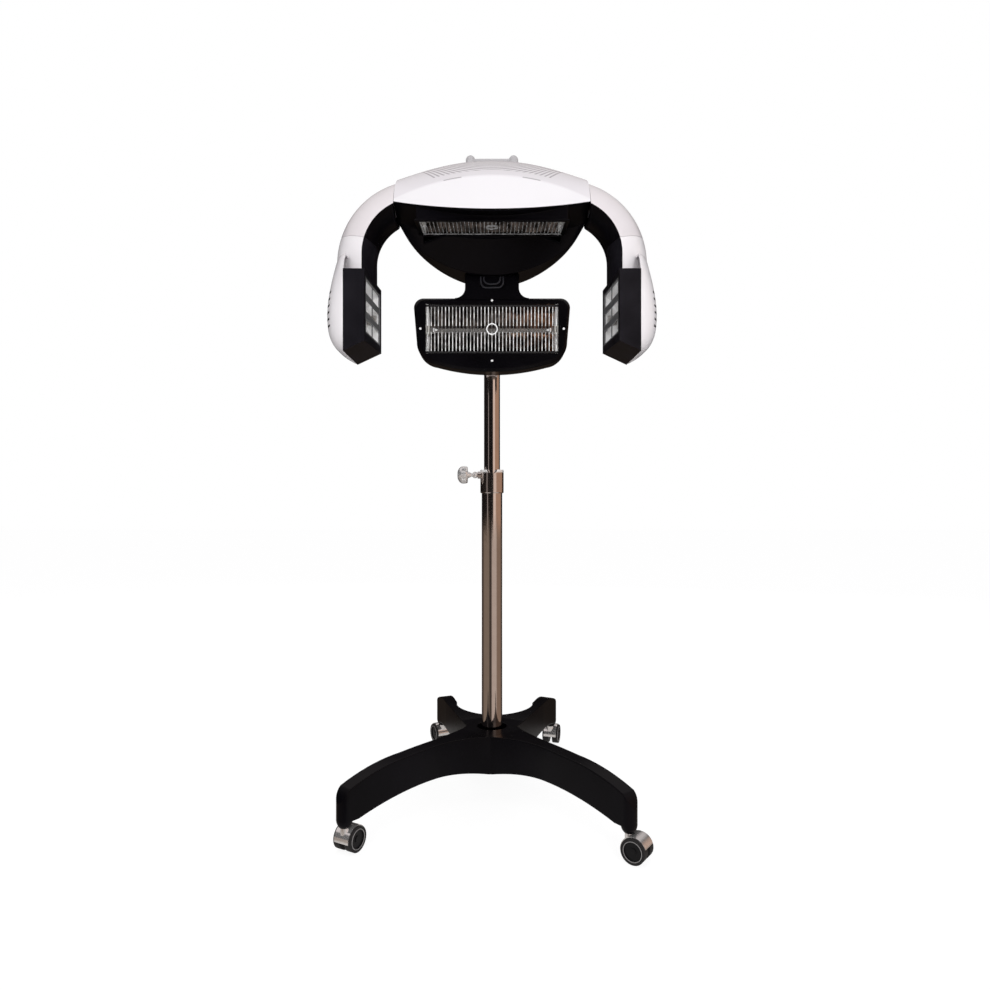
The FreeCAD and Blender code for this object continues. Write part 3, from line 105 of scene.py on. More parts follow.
class Finish:
    """The surface of one of the object's materials, built from shader nodes."""

    def __init__(self, name, tree=None):
        if tree is None:
            self.material = bpy.data.materials.new(name)
            self.material.use_nodes = True
            tree = self.material.node_tree
        tree.nodes.clear()
        self.tree = tree

    def node(self, kind, settings=None, values=None):
        """Add a node: its settings first, then a value or a link for each socket."""
        made = self.tree.nodes.new(kind)
        for key, setting in (settings or {}).items():
            if key == "stops":
                ramp = made.color_ramp.elements
                while len(ramp) > 1:
                    ramp.remove(ramp[-1])
                ramp[0].position, ramp[0].color = setting[0]
                for place, colour in setting[1:]:
                    ramp.new(place).color = colour
            else:
                setattr(made, key, setting)
        for key, value in (values or {}).items():
            socket = made.inputs[key]
            if isinstance(value, Value):
                self.tree.links.new(value.socket, socket)
            else:
                socket.default_value = value
        return [Value(self, out) for out in made.outputs]

    def sum(self, operation, *terms):
        """A number worked out from others by a Math node."""
        return self.node("ShaderNodeMath", {"operation": operation}, dict(enumerate(terms)))[0]

    def rise(self, value, start, end, smooth=False):
        """A share that is 0 where the value is start, and grows to 1 where it is end."""
        way = {"interpolation_type": "SMOOTHSTEP"} if smooth else None
        return self.node("ShaderNodeMapRange", way,
                         {0: value, 1: start, 2: end, 3: 0.0, 4: 1.0})[0]

    def surface(self, shader):
        self.node("ShaderNodeOutputMaterial", None, {"Surface": shader})

    def principled(self, **values):
        named = {key.replace("_", " "): value for key, value in values.items()}
        return self.node("ShaderNodeBsdfPrincipled", None, named)[0]

    def place(self):
        """Where a point lies on the object, as three numbers in metres."""
        where = self.node("ShaderNodeTexCoord")[3]
        return self.node("ShaderNodeSeparateXYZ", None, {0: where})

    def blend(self, share, first, second):
        """Colour between two colours."""
        return self.node("ShaderNodeMix", {"data_type": "RGBA"},
                         {"Factor": share, 6: first, 7: second})[2]

    def grain(self, scale, detail=2.0):
        """Cloudy pattern between 0 and 1, with so many clouds in a metre."""
        where = self.node("ShaderNodeTexCoord")[3]
        return self.node("ShaderNodeTexNoise", None,
                         {"Vector": where, "Scale": scale, "Detail": detail})[0]

    def around(self, x, y, stops):
        """Colour by heading: degrees from the front (-Y) towards +X, each with its colour."""
        turn = self.sum("ARCTAN2", x, 0 - y) / (2 * math.pi) + 0.5
        placed = [(0.5 + degrees / 360, (*colour, 1.0)) for degrees, colour in stops]
        return self.node("ShaderNodeValToRGB", {"stops": placed}, {0: turn})[0]

    def relief(self, height, depth, before=None):
        """Bumps of so many metres, on top of another relief where one is given."""
        values = {"Height": height, "Strength": 1.0, "Distance": depth}
        if before is not None:
            values["Normal"] = before
        return self.node("ShaderNodeBump", None, values)[0]


def dress(finish, *names):
    """Give these solids of the frame one finish."""
    for name in names:
        solid = frame["nodes"][name]
        solid.data.materials.clear()
        solid.data.materials.append(finish.material)


# What chrome sees: a dark studio with one broad warm panel to the right of the lens and
# a thin strip to the left, and a warm floor.
DARK = (0.010, 0.008, 0.008)
PANEL_NEAR = (0.78, 0.62, 0.54)
PANEL_FAR = (0.42, 0.26, 0.18)
STRIP = (0.34, 0.30, 0.29)
STUDIO = ((-180, DARK), (-58, DARK), (-53, STRIP), (-49, STRIP), (-44, DARK), (11, DARK),
          (18, PANEL_NEAR), (38, PANEL_NEAR), (48, PANEL_FAR), (112, PANEL_FAR), (126, DARK),
          (180, DARK))
FLOOR_EDGE = (0.10, 0.075, 0.06)
FLOOR_LEFT = (0.36, 0.28, 0.22)
FLOOR_RIGHT = (0.82, 0.68, 0.60)
FLOOR_FAR = (0.40, 0.28, 0.21)
FLOOR_NEAR = (0.80, 0.76, 0.73, 1.0)
FLOOR = ((-180, FLOOR_EDGE), (-120, FLOOR_EDGE), (-95, FLOOR_LEFT), (-35, FLOOR_LEFT),
         (-25, FLOOR_EDGE), (-8, FLOOR_EDGE), (2, FLOOR_RIGHT), (48, FLOOR_RIGHT),
         (58, FLOOR_FAR), (105, FLOOR_FAR), (130, FLOOR_EDGE), (180, FLOOR_EDGE))
CASTORS_IN, CASTORS_OUT = 0.42, 0.50
FLOOR_GLOW, FLOOR_GLOW_SHARE, FLOOR_SHEEN = 1.15, 0.76, 0.62
FLOOR_REACH = 12.0

floor_finish = Finish("pale_floor")
ray = floor_finish.node("ShaderNodeLightPath")
to_lens, to_mirror = ray[0], ray[3]
lit = floor_finish.node("ShaderNodeBsdfDiffuse", None, {"Color": (0.86, 0.86, 0.86, 1.0)})[0]
glow = floor_finish.node("ShaderNodeEmission", None,
                         {"Color": (1.0, 1.0, 1.0, 1.0), "Strength": FLOOR_GLOW})[0]
white = floor_finish.node("ShaderNodeMixShader", None,
                          {0: FLOOR_GLOW_SHARE, 1: lit, 2: glow})[0]
x, y = floor_finish.place()[:2]
away = floor_finish.sum("SQRT", x * x + y * y)
near_castors = floor_finish.rise(away, CASTORS_OUT, CASTORS_IN, smooth=True)
sheen = floor_finish.blend(near_castors, floor_finish.around(x, y, FLOOR), FLOOR_NEAR)
warm = floor_finish.node("ShaderNodeEmission", None,
                         {"Color": sheen, "Strength": FLOOR_SHEEN})[0]
seen = floor_finish.node("ShaderNodeMixShader", None, {0: to_lens, 1: lit, 2: white})[0]
floor_finish.surface(
    floor_finish.node("ShaderNodeMixShader", None, {0: to_mirror, 1: seen, 2: warm})[0])
mesh = bpy.data.meshes.new("salon_floor")
corners = [(-FLOOR_REACH, -FLOOR_REACH, 0), (FLOOR_REACH, -FLOOR_REACH, 0),
           (FLOOR_REACH, FLOOR_REACH, 0), (-FLOOR_REACH, FLOOR_REACH, 0)]
mesh.from_pydata(corners, [], [(0, 1, 2, 3)])
mesh.materials.append(floor_finish.material)
floor = bpy.data.objects.new("salon_floor", mesh)
scene.collection.objects.link(floor)

# Studio light: a pale room that is darker behind and overhead, two tall soft boxes in
# front, one above and one behind. They light the stand, and chrome doesn't see them.
ROOM_LEVEL, ROOM_FALL_BACK, ROOM_FALL_UP = 0.68, 0.34, 0.16
CEILING = (0.62, 0.57, 0.56, 1.0)
CEILING_FROM, CEILING_TO = 0.42, 0.62
world = bpy.data.worlds.new("studio")
world.use_nodes = True
scene.world = world
room = Finish("studio", world.node_tree)
ray = room.node("ShaderNodeLightPath")
to_lens, to_mirror = ray[0], ray[3]
heading = room.node("ShaderNodeTexCoord")[0]
toward = room.node("ShaderNodeSeparateXYZ", None, {0: heading})
level = ROOM_LEVEL - toward[1] * ROOM_FALL_BACK - toward[2] * ROOM_FALL_UP
plain = room.node("ShaderNodeBackground", None, {0: (1.0, 0.985, 1.0, 1.0), 1: level})[0]
white = room.node("ShaderNodeBackground", None, {0: (1.0, 1.0, 1.0, 1.0), 1: 1.0})[0]
walls = room.around(toward[0], toward[1], STUDIO)
overhead = room.rise(toward[2], CEILING_FROM, CEILING_TO, smooth=True)
around_it = room.blend(overhead, walls, CEILING)
mirrored_room = room.node("ShaderNodeBackground", None, {0: around_it, 1: 1.0})[0]
mixed = room.node("ShaderNodeMixShader", None, {0: to_mirror, 1: plain, 2: mirrored_room})[0]
mixed = room.node("ShaderNodeMixShader", None, {0: to_lens, 1: mixed, 2: white})[0]
room.node("ShaderNodeOutputWorld", None, {"Surface": mixed})


def soft_box(name, place, aim, wide, high, watts):
    """A broad lamp that shines on the stand and is seen in no chrome."""
    light = bpy.data.lights.new(name, "AREA")
    light.shape = "RECTANGLE"
    light.size = wide
    light.size_y = high
    light.energy = watts
    lamp = bpy.data.objects.new(name, light)
    lamp.visible_glossy = False
    lamp.location = place
    lamp.rotation_euler = (Vector(aim) - Vector(place)).to_track_quat("-Z", "Y").to_euler()
    scene.collection.objects.link(lamp)


soft_box("soft_box_right", (1.0, -3.2, 1.3), (0, 0, 0.9), 0.8, 2.6, 33.0)
soft_box("soft_box_left", (-1.0, -3.2, 1.3), (0, 0, 0.9), 0.8, 2.6, 21.0)
soft_box("soft_box_above", (0.0, -1.2, 3.4), (0, -0.1, 1.1), 2.2, 1.6, 6.0)
soft_box("soft_box_behind", (0.6, 3.2, 1.6), (0, 0, 0.9), 1.6, 2.0, 30.0)


# ------------------------------------------------------------------------------
# Four twin-wheel castors: a bright pressed hood over two black nylon wheels with a soft
# dark tread, and a thin grey ring let into the face of each wheel.

chrome = Finish("bright_chrome")
cloud = chrome.grain(60.0)
fine = chrome.grain(900.0)
chrome.surface(chrome.principled(
    Base_Color=chrome.blend(cloud, (0.80, 0.735, 0.70, 1.0), (0.70, 0.635, 0.60, 1.0)),
    Metallic=1.0, Roughness=0.05 + cloud * 0.07, Normal=chrome.relief(fine, 0.00002)))

nylon = Finish("black_nylon")
fine = nylon.grain(1400.0, 4.0)
nylon.surface(nylon.principled(
    Base_Color=nylon.blend(fine, (0.0035, 0.0035, 0.004, 1.0), (0.007, 0.007, 0.008, 1.0)),
    Roughness=0.34 + fine * 0.16, Normal=nylon.relief(fine, 0.00006), Specular_IOR_Level=0.2))

tread = Finish("dark_tread")
fine = tread.grain(1100.0, 5.0)
dust = tread.grain(45.0, 4.0)
tread.surface(tread.principled(
    Base_Color=tread.blend(dust, (0.010, 0.0095, 0.010, 1.0), (0.022, 0.021, 0.021, 1.0)),
    Roughness=0.5 + fine * 0.2, Normal=tread.relief(fine, 0.0001), Specular_IOR_Level=0.25))

hood = Finish("pressed_hood")
fine = hood.grain(70.0)
hood.surface(hood.principled(
    Base_Color=hood.blend(fine, (0.86, 0.84, 0.83, 1.0), (0.93, 0.915, 0.905, 1.0)),
    Metallic=0.86, Roughness=0.10 + fine * 0.08))

ring_grey = Finish("ring_grey")
fine = ring_grey.grain(1500.0, 3.0)
ring_grey.surface(ring_grey.principled(
    Base_Color=ring_grey.blend(fine, (0.26, 0.25, 0.25, 1.0), (0.36, 0.35, 0.35, 1.0)),
    Metallic=0.4, Roughness=0.35))


def closed_mesh(name, shell):
    """Turn the faces of a closed shell outwards and keep it as a mesh."""
    bmesh.ops.recalc_face_normals(shell, faces=shell.faces)
    mesh = bpy.data.meshes.new(name)
    shell.to_mesh(mesh)
    shell.free()
    return mesh


def fix(name, mesh, finish, body):
    """Make a mesh a piece in its finish, and fix it to the body that it moves with."""
    mesh.materials.clear()
    mesh.materials.append(finish.material)
    piece = bpy.data.objects.new(name, mesh)
    scene.collection.objects.link(piece)
    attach(piece, body)


RING_R = 0.0175
RING_WIRE = 0.0007
RING_STEPS, WIRE_STEPS = 48, 8
FACE_OUT = 0.0194       # from the middle of the castor to the face of a wheel
axles = {joint["name"]: joint for joint in frame["joints"] if joint["name"].startswith("roll_")}
for corner in ("front_left", "front_right", "rear_left", "rear_right"):
    dress(hood, "castor_hood_" + corner)
    dress(nylon, "castor_wheels_" + corner)
    dress(tread, "castor_treads_" + corner)
    axle = axles["roll_" + corner]
    along = Vector(axle["axis"]).normalized()
    rings = bmesh.new()
    for way in (-1, 1):
        turn = (way * along).to_track_quat("Z", "Y").to_matrix().to_4x4()
        place = Matrix.Translation(Vector(axle["pos_m"]) + way * FACE_OUT * along) @ turn
        rows = []
        for step in range(RING_STEPS):
            angle = 2 * math.pi * step / RING_STEPS
            row = []
            for part in range(WIRE_STEPS):
                lean = 2 * math.pi * part / WIRE_STEPS
                reach = RING_R + RING_WIRE * math.cos(lean)
                point = Vector((reach * math.cos(angle), reach * math.sin(angle),
                                RING_WIRE * math.sin(lean)))
                row.append(rings.verts.new(place @ point))
            rows.append(row)
        for step in range(RING_STEPS):
            row, after = rows[step], rows[(step + 1) % RING_STEPS]
            for part in range(WIRE_STEPS):
                near = (part + 1) % WIRE_STEPS
                rings.faces.new((row[part], after[part], after[near], row[near]))
    mesh = closed_mesh("wheel_rings_" + corner, rings)
    mesh.polygons.foreach_set("use_smooth", [True] * len(mesh.polygons))
    fix("wheel_rings_" + corner, mesh, ring_grey, "wheels_" + corner)


# ------------------------------------------------------------------------------
# Four-legged base: one black moulding with a satin skin and rounded edges, and the
# zinc-plated steel that is pressed and bolted into it.

black = Finish("black_moulding")
round_edge = black.node("ShaderNodeBevel", {"samples": 6}, {"Radius": 0.004})[0]
fine = black.grain(1600.0, 4.0)
flow = black.grain(9.0, 3.0)
# The faint purple mottling of the black, drawn with a cloudy pattern, is painted sheen.
black.surface(black.principled(
    Base_Color=black.blend(flow, (0.0005, 0.0004, 0.0006, 1.0), (0.0040, 0.0034, 0.0052, 1.0)),
    Roughness=0.24 + flow * 0.1, Normal=black.relief(fine, 0.00003, round_edge),
    Specular_IOR_Level=0.10))
dress(black, "base_moulding")

zinc = Finish("zinc_plate")
cloud = zinc.grain(220.0, 4.0)
zinc.surface(zinc.principled(
    Base_Color=zinc.blend(cloud, (0.46, 0.46, 0.48, 1.0), (0.60, 0.60, 0.60, 1.0)),
    Metallic=1.0, Roughness=0.24 + cloud * 0.2))
dress(zinc, "castor_sockets", "column_bolt")


# ------------------------------------------------------------------------------
# Column: a wide chromed tube with a clamp collar whose upper lip carries a painted glint, and
# the thinner tube that slides in it, held by a thumb screw and led by a plastic bush.

dress(chrome, "lower_tube", "mast_tube")
cast = Finish("cast_chrome")
fine = cast.grain(300.0, 3.0)
# Painted glint: the collar's upper lip is coloured near white and made less metallic.
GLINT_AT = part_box("clamp_collar")[1][2] - 0.0035
GLINT_FADE = 0.004
painted_glint = cast.rise(cast.place()[2], GLINT_AT - GLINT_FADE, GLINT_AT)
side = cast.blend(fine, (0.66, 0.60, 0.57, 1.0), (0.76, 0.70, 0.67, 1.0))
cast.surface(cast.principled(
    Base_Color=cast.blend(painted_glint, side, (0.95, 0.94, 0.93, 1.0)),
    Metallic=1.0 - painted_glint * 0.6, Roughness=0.10 + fine * 0.06))
dress(cast, "clamp_collar")
turned = Finish("turned_chrome")
fine = turned.grain(300.0, 3.0)
turned.surface(turned.principled(
    Base_Color=turned.blend(fine, (0.86, 0.85, 0.84, 1.0), (0.94, 0.93, 0.92, 1.0)),
    Metallic=0.72, Roughness=0.14 + fine * 0.06))
dress(turned, "thumb_screw")
dress(nylon, "glide_bush", "mast_foot")


# ------------------------------------------------------------------------------
# Back unit: a black front shell and a white rear cover round the socket that turns on
# the column, with a polished trough, an infrared tube and a wire guard.

dress(black, "back_housing")
white_skin = Finish("white_moulding")
fine = white_skin.grain(1500.0, 3.0)
flow = white_skin.grain(6.0, 3.0)
white_skin.surface(white_skin.principled(
    Base_Color=white_skin.blend(flow, (0.79, 0.765, 0.78, 1.0), (0.83, 0.805, 0.82, 1.0)),
    Roughness=0.2 + flow * 0.1, Normal=white_skin.relief(fine, 0.00003), Coat_Weight=0.25))
dress(white_skin, "rear_cover")
dress(zinc, "mast_socket", "tilt_pin")

nickel = Finish("satin_nickel_wire")
cloud = nickel.grain(300.0, 2.0)
nickel.surface(nickel.principled(
    Base_Color=nickel.blend(cloud, (0.94, 0.935, 0.93, 1.0), (0.99, 0.985, 0.98, 1.0)),
    Metallic=0.1, Roughness=0.28 + cloud * 0.1))
dress(nickel, "panel_screws")

# The guards' wires carry uneven painted glints. In the back guard a painted shade darkens them
# where the tube runs behind them, the ring is bright, and the frame is painted dark as the
# opening's shade.
UNLIT_SHARE = 0.42
TUBE_SHADE = 0.0065      # half the height of the dark band
RING_INSIDE, RING_OUTSIDE = 0.0095, 0.0135
GUARD_FRAME = 0.0045
for guard, wire_light in (("back_wire_guard", 0.99), ("top_wire_guard", 0.45)):
    guarded = Finish(guard)
    cloud = guarded.grain(75.0, 4.0)
    unlit = wire_light * UNLIT_SHARE
    # Painted glints: a cloudy pattern lifts stretches of wire to full brightness.
    wires = guarded.blend(guarded.rise(cloud, 0.40, 0.58), (unlit, unlit, unlit, 1.0),
                          (wire_light, wire_light, wire_light, 1.0))
    if guard == "back_wire_guard":
        x, y, z = guarded.place()
        low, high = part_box(guard)
        off = abs(z - (low[2] + high[2]) / 2)
        apart = x * x + off * off
        ring = (apart > RING_INSIDE ** 2) * (apart < RING_OUTSIDE ** 2)
        # Painted shade across the wires in front of the tube.
        wires = guarded.blend(off < TUBE_SHADE, wires, (0.10, 0.095, 0.095, 1.0))
        wires = guarded.blend(ring, wires, (0.99, 0.99, 0.99, 1.0))
        # Painted shade on the guard's frame in the opening.
        frame_part = off > (high[2] - low[2]) / 2 - GUARD_FRAME
        wires = guarded.blend(frame_part, wires, (0.02, 0.019, 0.02, 1.0))
    guarded.surface(guarded.principled(
        Base_Color=wires, Metallic=0.0, Roughness=0.22 + cloud * 0.1))
    dress(guarded, guard)

# A reflector is a rolled mirror with matt end walls. Its mirror carries patches of dark and
# glint as painted reflections, and the back one has a warm painted reflection towards its right
# end.
END_WALL = 0.1332
WARM_FROM, WARM_TO = 0.01, 0.11
polished = Finish("polished_reflector")
cloud = polished.grain(70.0, 3.0)
stretch = polished.node("ShaderNodeMapping", None,
                        {0: polished.node("ShaderNodeTexCoord")[3], 3: (40.0, 6.0, 6.0)})[0]
ripple = polished.node("ShaderNodeTexNoise", None, {"Vector": stretch, "Scale": 8.0})[0]
x, y, z = polished.place()
end = abs(x) > END_WALL
# Painted reflection: a warm tint towards the back reflector's right end.
warm = polished.rise(x, WARM_FROM, WARM_TO) * (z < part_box("top_reflector")[0][2])
shade = polished.rise(cloud, 0.38, 0.62)
glint = polished.blend(warm, (0.24, 0.225, 0.22, 1.0), (0.42, 0.24, 0.16, 1.0))
painted_reflection = polished.blend(shade, (0.015, 0.013, 0.013, 1.0), glint)
polished.surface(polished.principled(
    Base_Color=polished.blend(end, painted_reflection, (0.93, 0.93, 0.92, 1.0)),
    Metallic=1 - end * 0.85, Roughness=0.07 + cloud * 0.07 + end * 0.4,
    Normal=polished.relief(ripple, 0.0010)))
dress(polished, "back_reflector", "top_reflector")

quartz = Finish("quartz_glass")
quartz.surface(quartz.principled(
    Base_Color=(0.95, 0.93, 0.90, 1.0), Roughness=0.05, Transmission_Weight=0.85, IOR=1.46))
dress(quartz, "back_infrared_tube", "top_infrared_tube", "side_infrared_tube_left",
      "side_infrared_tube_right")

ceramic = Finish("steatite")
fine = ceramic.grain(900.0, 4.0)
ceramic.surface(ceramic.principled(
    Base_Color=ceramic.blend(fine, (0.62, 0.60, 0.55, 1.0), (0.72, 0.70, 0.66, 1.0)),
    Roughness=0.7, Normal=ceramic.relief(fine, 0.00008)))
dress(ceramic, "back_tube_holders", "top_tube_holders")


class Pattern:
    """A geometry-node tree for something that repeats, with its sizes as named inputs."""

    def __init__(self, name, **sizes):
        self.name = name
        self.tree = bpy.data.node_groups.new(name, "GeometryNodeTree")
        self.tree.interface.new_socket("Geometry", in_out="OUTPUT",
                                       socket_type="NodeSocketGeometry")
        for key, size in sizes.items():
            kind = "NodeSocketInt" if isinstance(size, int) else "NodeSocketFloat"
            self.tree.interface.new_socket(key, in_out="INPUT", socket_type=kind)
        self.sizes = sizes
        given = self.tree.nodes.new("NodeGroupInput")
        self.size = {key: given.outputs[key] for key in sizes}

    def node(self, kind, settings=None, values=None):
        """Add a node: its settings first, then a value or a link for each socket."""
        made = self.tree.nodes.new(kind)
        for key, setting in (settings or {}).items():
            setattr(made, key, setting)
        for key, value in (values or {}).items():
            if isinstance(value, bpy.types.NodeSocket):
                self.tree.links.new(value, made.inputs[key])
            else:
                made.inputs[key].default_value = value
        return made.outputs

    def finish(self, geometry, finish):
        """End the tree with real geometry in one finish."""
        real = self.node("GeometryNodeRealizeInstances", None, {0: geometry})[0]
        coloured = self.node("GeometryNodeSetMaterial", None,
                             {"Geometry": real, "Material": finish.material})[0]
        self.tree.links.new(coloured, self.tree.nodes.new("NodeGroupOutput").inputs[0])

    def piece(self, name, place, turn, **sizes):
        """One solid grown from the tree, with its place in its own mesh."""
        host = bpy.data.objects.new(name, bpy.data.meshes.new(name))
        scene.collection.objects.link(host)
        grower = host.modifiers.new(self.name, "NODES")
        grower.node_group = self.tree
        for item in self.tree.interface.items_tree:
            if item.in_out == "INPUT":
                grower[item.identifier] = {**self.sizes, **sizes}[item.name]
        bpy.context.view_layer.update()
        seen = host.evaluated_get(bpy.context.evaluated_depsgraph_get())
        mesh = bpy.data.meshes.new_from_object(seen)
        host.modifiers.clear()
        host.data = mesh
        spin = Matrix.LocRotScale(Vector(place), Matrix.Identity(3), None)
        for axis, angle in zip("XYZ", turn):
            spin = spin @ Matrix.Rotation(angle, 4, axis)
        mesh.transform(spin)
        mesh.update()
        return host


# The resistance coil wound inside each quartz tube.
wire = Finish("resistance_wire")
scale = wire.grain(2500.0, 3.0)
wire.surface(wire.principled(
    Base_Color=wire.blend(scale, (0.16, 0.14, 0.13, 1.0), (0.30, 0.27, 0.25, 1.0)),
    Metallic=1.0, Roughness=0.35 + scale * 0.2))
coil = Pattern("resistance_coil", turns=60.0, length=0.24, radius=0.0028, wire=0.0004)
helix = coil.node("GeometryNodeCurveSpiral", None,
                  {"Resolution": 12, "Rotations": coil.size["turns"],
                   "Start Radius": coil.size["radius"], "End Radius": coil.size["radius"],
                   "Height": coil.size["length"]})[0]
round_wire = coil.node("GeometryNodeCurvePrimitiveCircle", None,
                       {"Resolution": 5, "Radius": coil.size["wire"]})[0]
coil.finish(coil.node("GeometryNodeCurveToMesh", None, {0: helix, 1: round_wire})[0], wire)


def wind_coil(tube, body, half, **sizes):
    """Wind a coil along the level middle line of a tube and fix it to the tube's body."""
    low, high = (Vector(corner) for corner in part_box(tube))
    middle = (low + high) / 2
    offs = [point.co - middle for point in frame["nodes"][tube].data.vertices]
    across = sum(off.x * off.y for off in offs)
    apart = sum(off.x * off.x for off in offs) - sum(off.y * off.y for off in offs)
    heading = 0.5 * math.atan2(2 * across, apart)
    along = Vector((math.cos(heading), math.sin(heading), 0.0))
    turn = (-math.pi / 2, math.pi / 2 - heading, 0.0)
    made = coil.piece(tube.replace("tube", "coil"), middle - half * along, turn,
                      length=2 * half, **sizes)
    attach(made, body)


LONG_COIL = 0.118        # half the length of a coil in the back and top tubes
wind_coil("back_infrared_tube", "back_unit", LONG_COIL)

# Bright three-cornered clips hold the tube's ends.
CLIP_AT = 0.119
CLIP_WIDE, CLIP_TALL, CLIP_THICK = 0.0052, 0.0048, 0.0009
CLIP_AHEAD = 0.0078
low, high = (Vector(corner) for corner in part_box("back_infrared_tube"))
middle = (low + high) / 2
for way, side in ((-1, "left"), (1, "right")):
    outline = [(way * (CLIP_AT - CLIP_WIDE), 0.0), (way * (CLIP_AT + CLIP_WIDE), CLIP_TALL),
               (way * (CLIP_AT + CLIP_WIDE), -CLIP_TALL)]
    front = [(x, middle.y - CLIP_AHEAD, middle.z + z) for x, z in outline]
    back = [(x, y + CLIP_THICK, z) for x, y, z in front]
    shell = bmesh.new()
    corners = [shell.verts.new(point) for point in front + back]
    for face in ((0, 1, 2), (5, 4, 3), (0, 3, 4, 1), (1, 4, 5, 2), (2, 5, 3, 0)):
        shell.faces.new([corners[corner] for corner in face])
    name = "tube_clip_" + side
    fix(name, closed_mesh(name, shell), nickel, "back_unit")

# The moulded rim is drawn as two beads in a lighter black, painted highlights on its outer and
# inner edges. It runs down one cheek of the neck, round under the slot and up the other, and its
# top follows the round knuckle that the top unit tilts on.
RIM_TOP = 1.104
RIM_BEADS = ((0.0235, 1.0805), (0.0175, 1.0880))     # half width and foot of each
RIM_CORNER, RIM_CORNER_STEPS = 0.012, 6
RIM_WIRE = 0.0016
NECK_FRONT = -0.072
TILT_Z = 1.090
KNUCKLE = 0.032
KNUCKLE_FOOT = TILT_Z + 0.006
# A lighter black than the mouldings: painted highlight on the rim's edges.
rim_highlight_black = Finish("rim_highlight_black")
fine = rim_highlight_black.grain(1500.0, 3.0)
rim_highlight_black.surface(rim_highlight_black.principled(
    Base_Color=rim_highlight_black.blend(fine, (0.018, 0.018, 0.022, 1.0), (0.028, 0.028, 0.034, 1.0)),
    Roughness=0.3))
line = bpy.data.curves.new("slot_rim", "CURVE")
line.dimensions = "3D"
line.bevel_depth = RIM_WIRE
line.bevel_resolution = 3
for half, foot in RIM_BEADS:
    path = [(-half, RIM_TOP), (-half, KNUCKLE_FOOT)]
    for step in range(2 * RIM_CORNER_STEPS + 1):
        angle = math.pi / 2 * step / RIM_CORNER_STEPS
        side = -1 if step <= RIM_CORNER_STEPS else 1
        bend = angle if side < 0 else math.pi - angle
        path.append((side * (half - RIM_CORNER + RIM_CORNER * math.cos(bend)),
                     foot + RIM_CORNER - RIM_CORNER * math.sin(bend)))
    path += [(half, KNUCKLE_FOOT), (half, RIM_TOP)]
    run = line.splines.new("POLY")
    run.points.add(len(path) - 1)
    for point, (x, z) in zip(run.points, path):
        sunk = KNUCKLE - math.sqrt(KNUCKLE ** 2 - max(0.0, z - TILT_Z) ** 2)
        point.co = (x, NECK_FRONT + sunk, z, 1.0)
holder = bpy.data.objects.new("slot_rim", line)
scene.collection.objects.link(holder)
bpy.context.view_layer.update()
seen = holder.evaluated_get(bpy.context.evaluated_depsgraph_get())
mesh = bpy.data.meshes.new_from_object(seen)
bpy.data.objects.remove(holder)
fix("slot_rim", mesh, rim_highlight_black, "back_unit")


# ------------------------------------------------------------------------------
# Controls on the back of the back unit: a black plate with a timer knob and a rocker
# switch, and beside it the inlet for the mains lead, all moulded in black nylon.

dress(nylon, "control_panel", "mains_inlet")
dial_black = Finish("dial_black")
fine = dial_black.grain(1400.0, 4.0)
dial_black.surface(dial_black.principled(
    Base_Color=dial_black.blend(fine, (0.020, 0.020, 0.022, 1.0), (0.034, 0.034, 0.036, 1.0)),
    Roughness=0.3 + fine * 0.16, Normal=dial_black.relief(fine, 0.00006)))
dress(dial_black, "timer_knob", "power_rocker")

# Printed ticks run round the knob on the face of the plate.
TICK_THICK = 0.00012
TICK_PROUD = 0.0001
FIRST_TICK = 2.094
low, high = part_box("timer_knob")
plate_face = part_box("control_panel")[1][1]
knob_at = ((low[0] + high[0]) / 2, plate_face + TICK_PROUD, (low[2] + high[2]) / 2)
marking = Finish("white_print")
fine = marking.grain(1500.0, 2.0)
marking.surface(marking.principled(
    Base_Color=marking.blend(fine, (0.74, 0.74, 0.74, 1.0), (0.84, 0.84, 0.84, 1.0)),
    Roughness=0.5))
ticks = Pattern("dial_ticks", count=13, ring=0.0165, sweep=5.236, long=0.0032, wide=0.0009)
arc = ticks.node("GeometryNodeCurveArc", None,
                 {"Resolution": ticks.size["count"], "Radius": ticks.size["ring"],
                  "Start Angle": FIRST_TICK, "Sweep Angle": ticks.size["sweep"]})[0]
size = ticks.node("ShaderNodeCombineXYZ", None,
                  {0: ticks.size["wide"], 1: ticks.size["long"], 2: TICK_THICK})[0]
bar = ticks.node("GeometryNodeMeshCube", None, {"Size": size})[0]
points = ticks.node("GeometryNodeCurveToPoints", {"mode": "EVALUATED"}, {0: arc})
spread = ticks.node("GeometryNodeInstanceOnPoints", None,
                    {"Points": points[0], "Instance": bar, "Rotation": points[3]})[0]
ticks.finish(spread, marking)
dial = ticks.piece("dial_ticks", knob_at, (math.pi / 2, 0.0, 0.0))
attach(dial, "back_unit")

# White line let into the knob's crown, with round ends.
POINTER_INNER, POINTER_OUTER = 0.0038, 0.0105
POINTER_HALF = 0.0007
POINTER_SUNK, POINTER_PROUD = 0.0004, 0.0002
END_POINTS = 7
pointer = bmesh.new()
rows = []
for depth in (high[1] - POINTER_SUNK, high[1] + POINTER_PROUD):
    row = []
    for foot, start in ((POINTER_OUTER, 0.0), (POINTER_INNER, math.pi)):
        for step in range(END_POINTS):
            angle = start + math.pi * step / (END_POINTS - 1)
            row.append(pointer.verts.new((knob_at[0] + POINTER_HALF * math.cos(angle), depth,
                                          knob_at[2] + foot + POINTER_HALF * math.sin(angle))))
    rows.append(row)
pointer.faces.new(rows[0])
pointer.faces.new(rows[1])
for step in range(2 * END_POINTS):
    after = (step + 1) % (2 * END_POINTS)
    pointer.faces.new((rows[0][step], rows[0][after], rows[1][after], rows[1][step]))
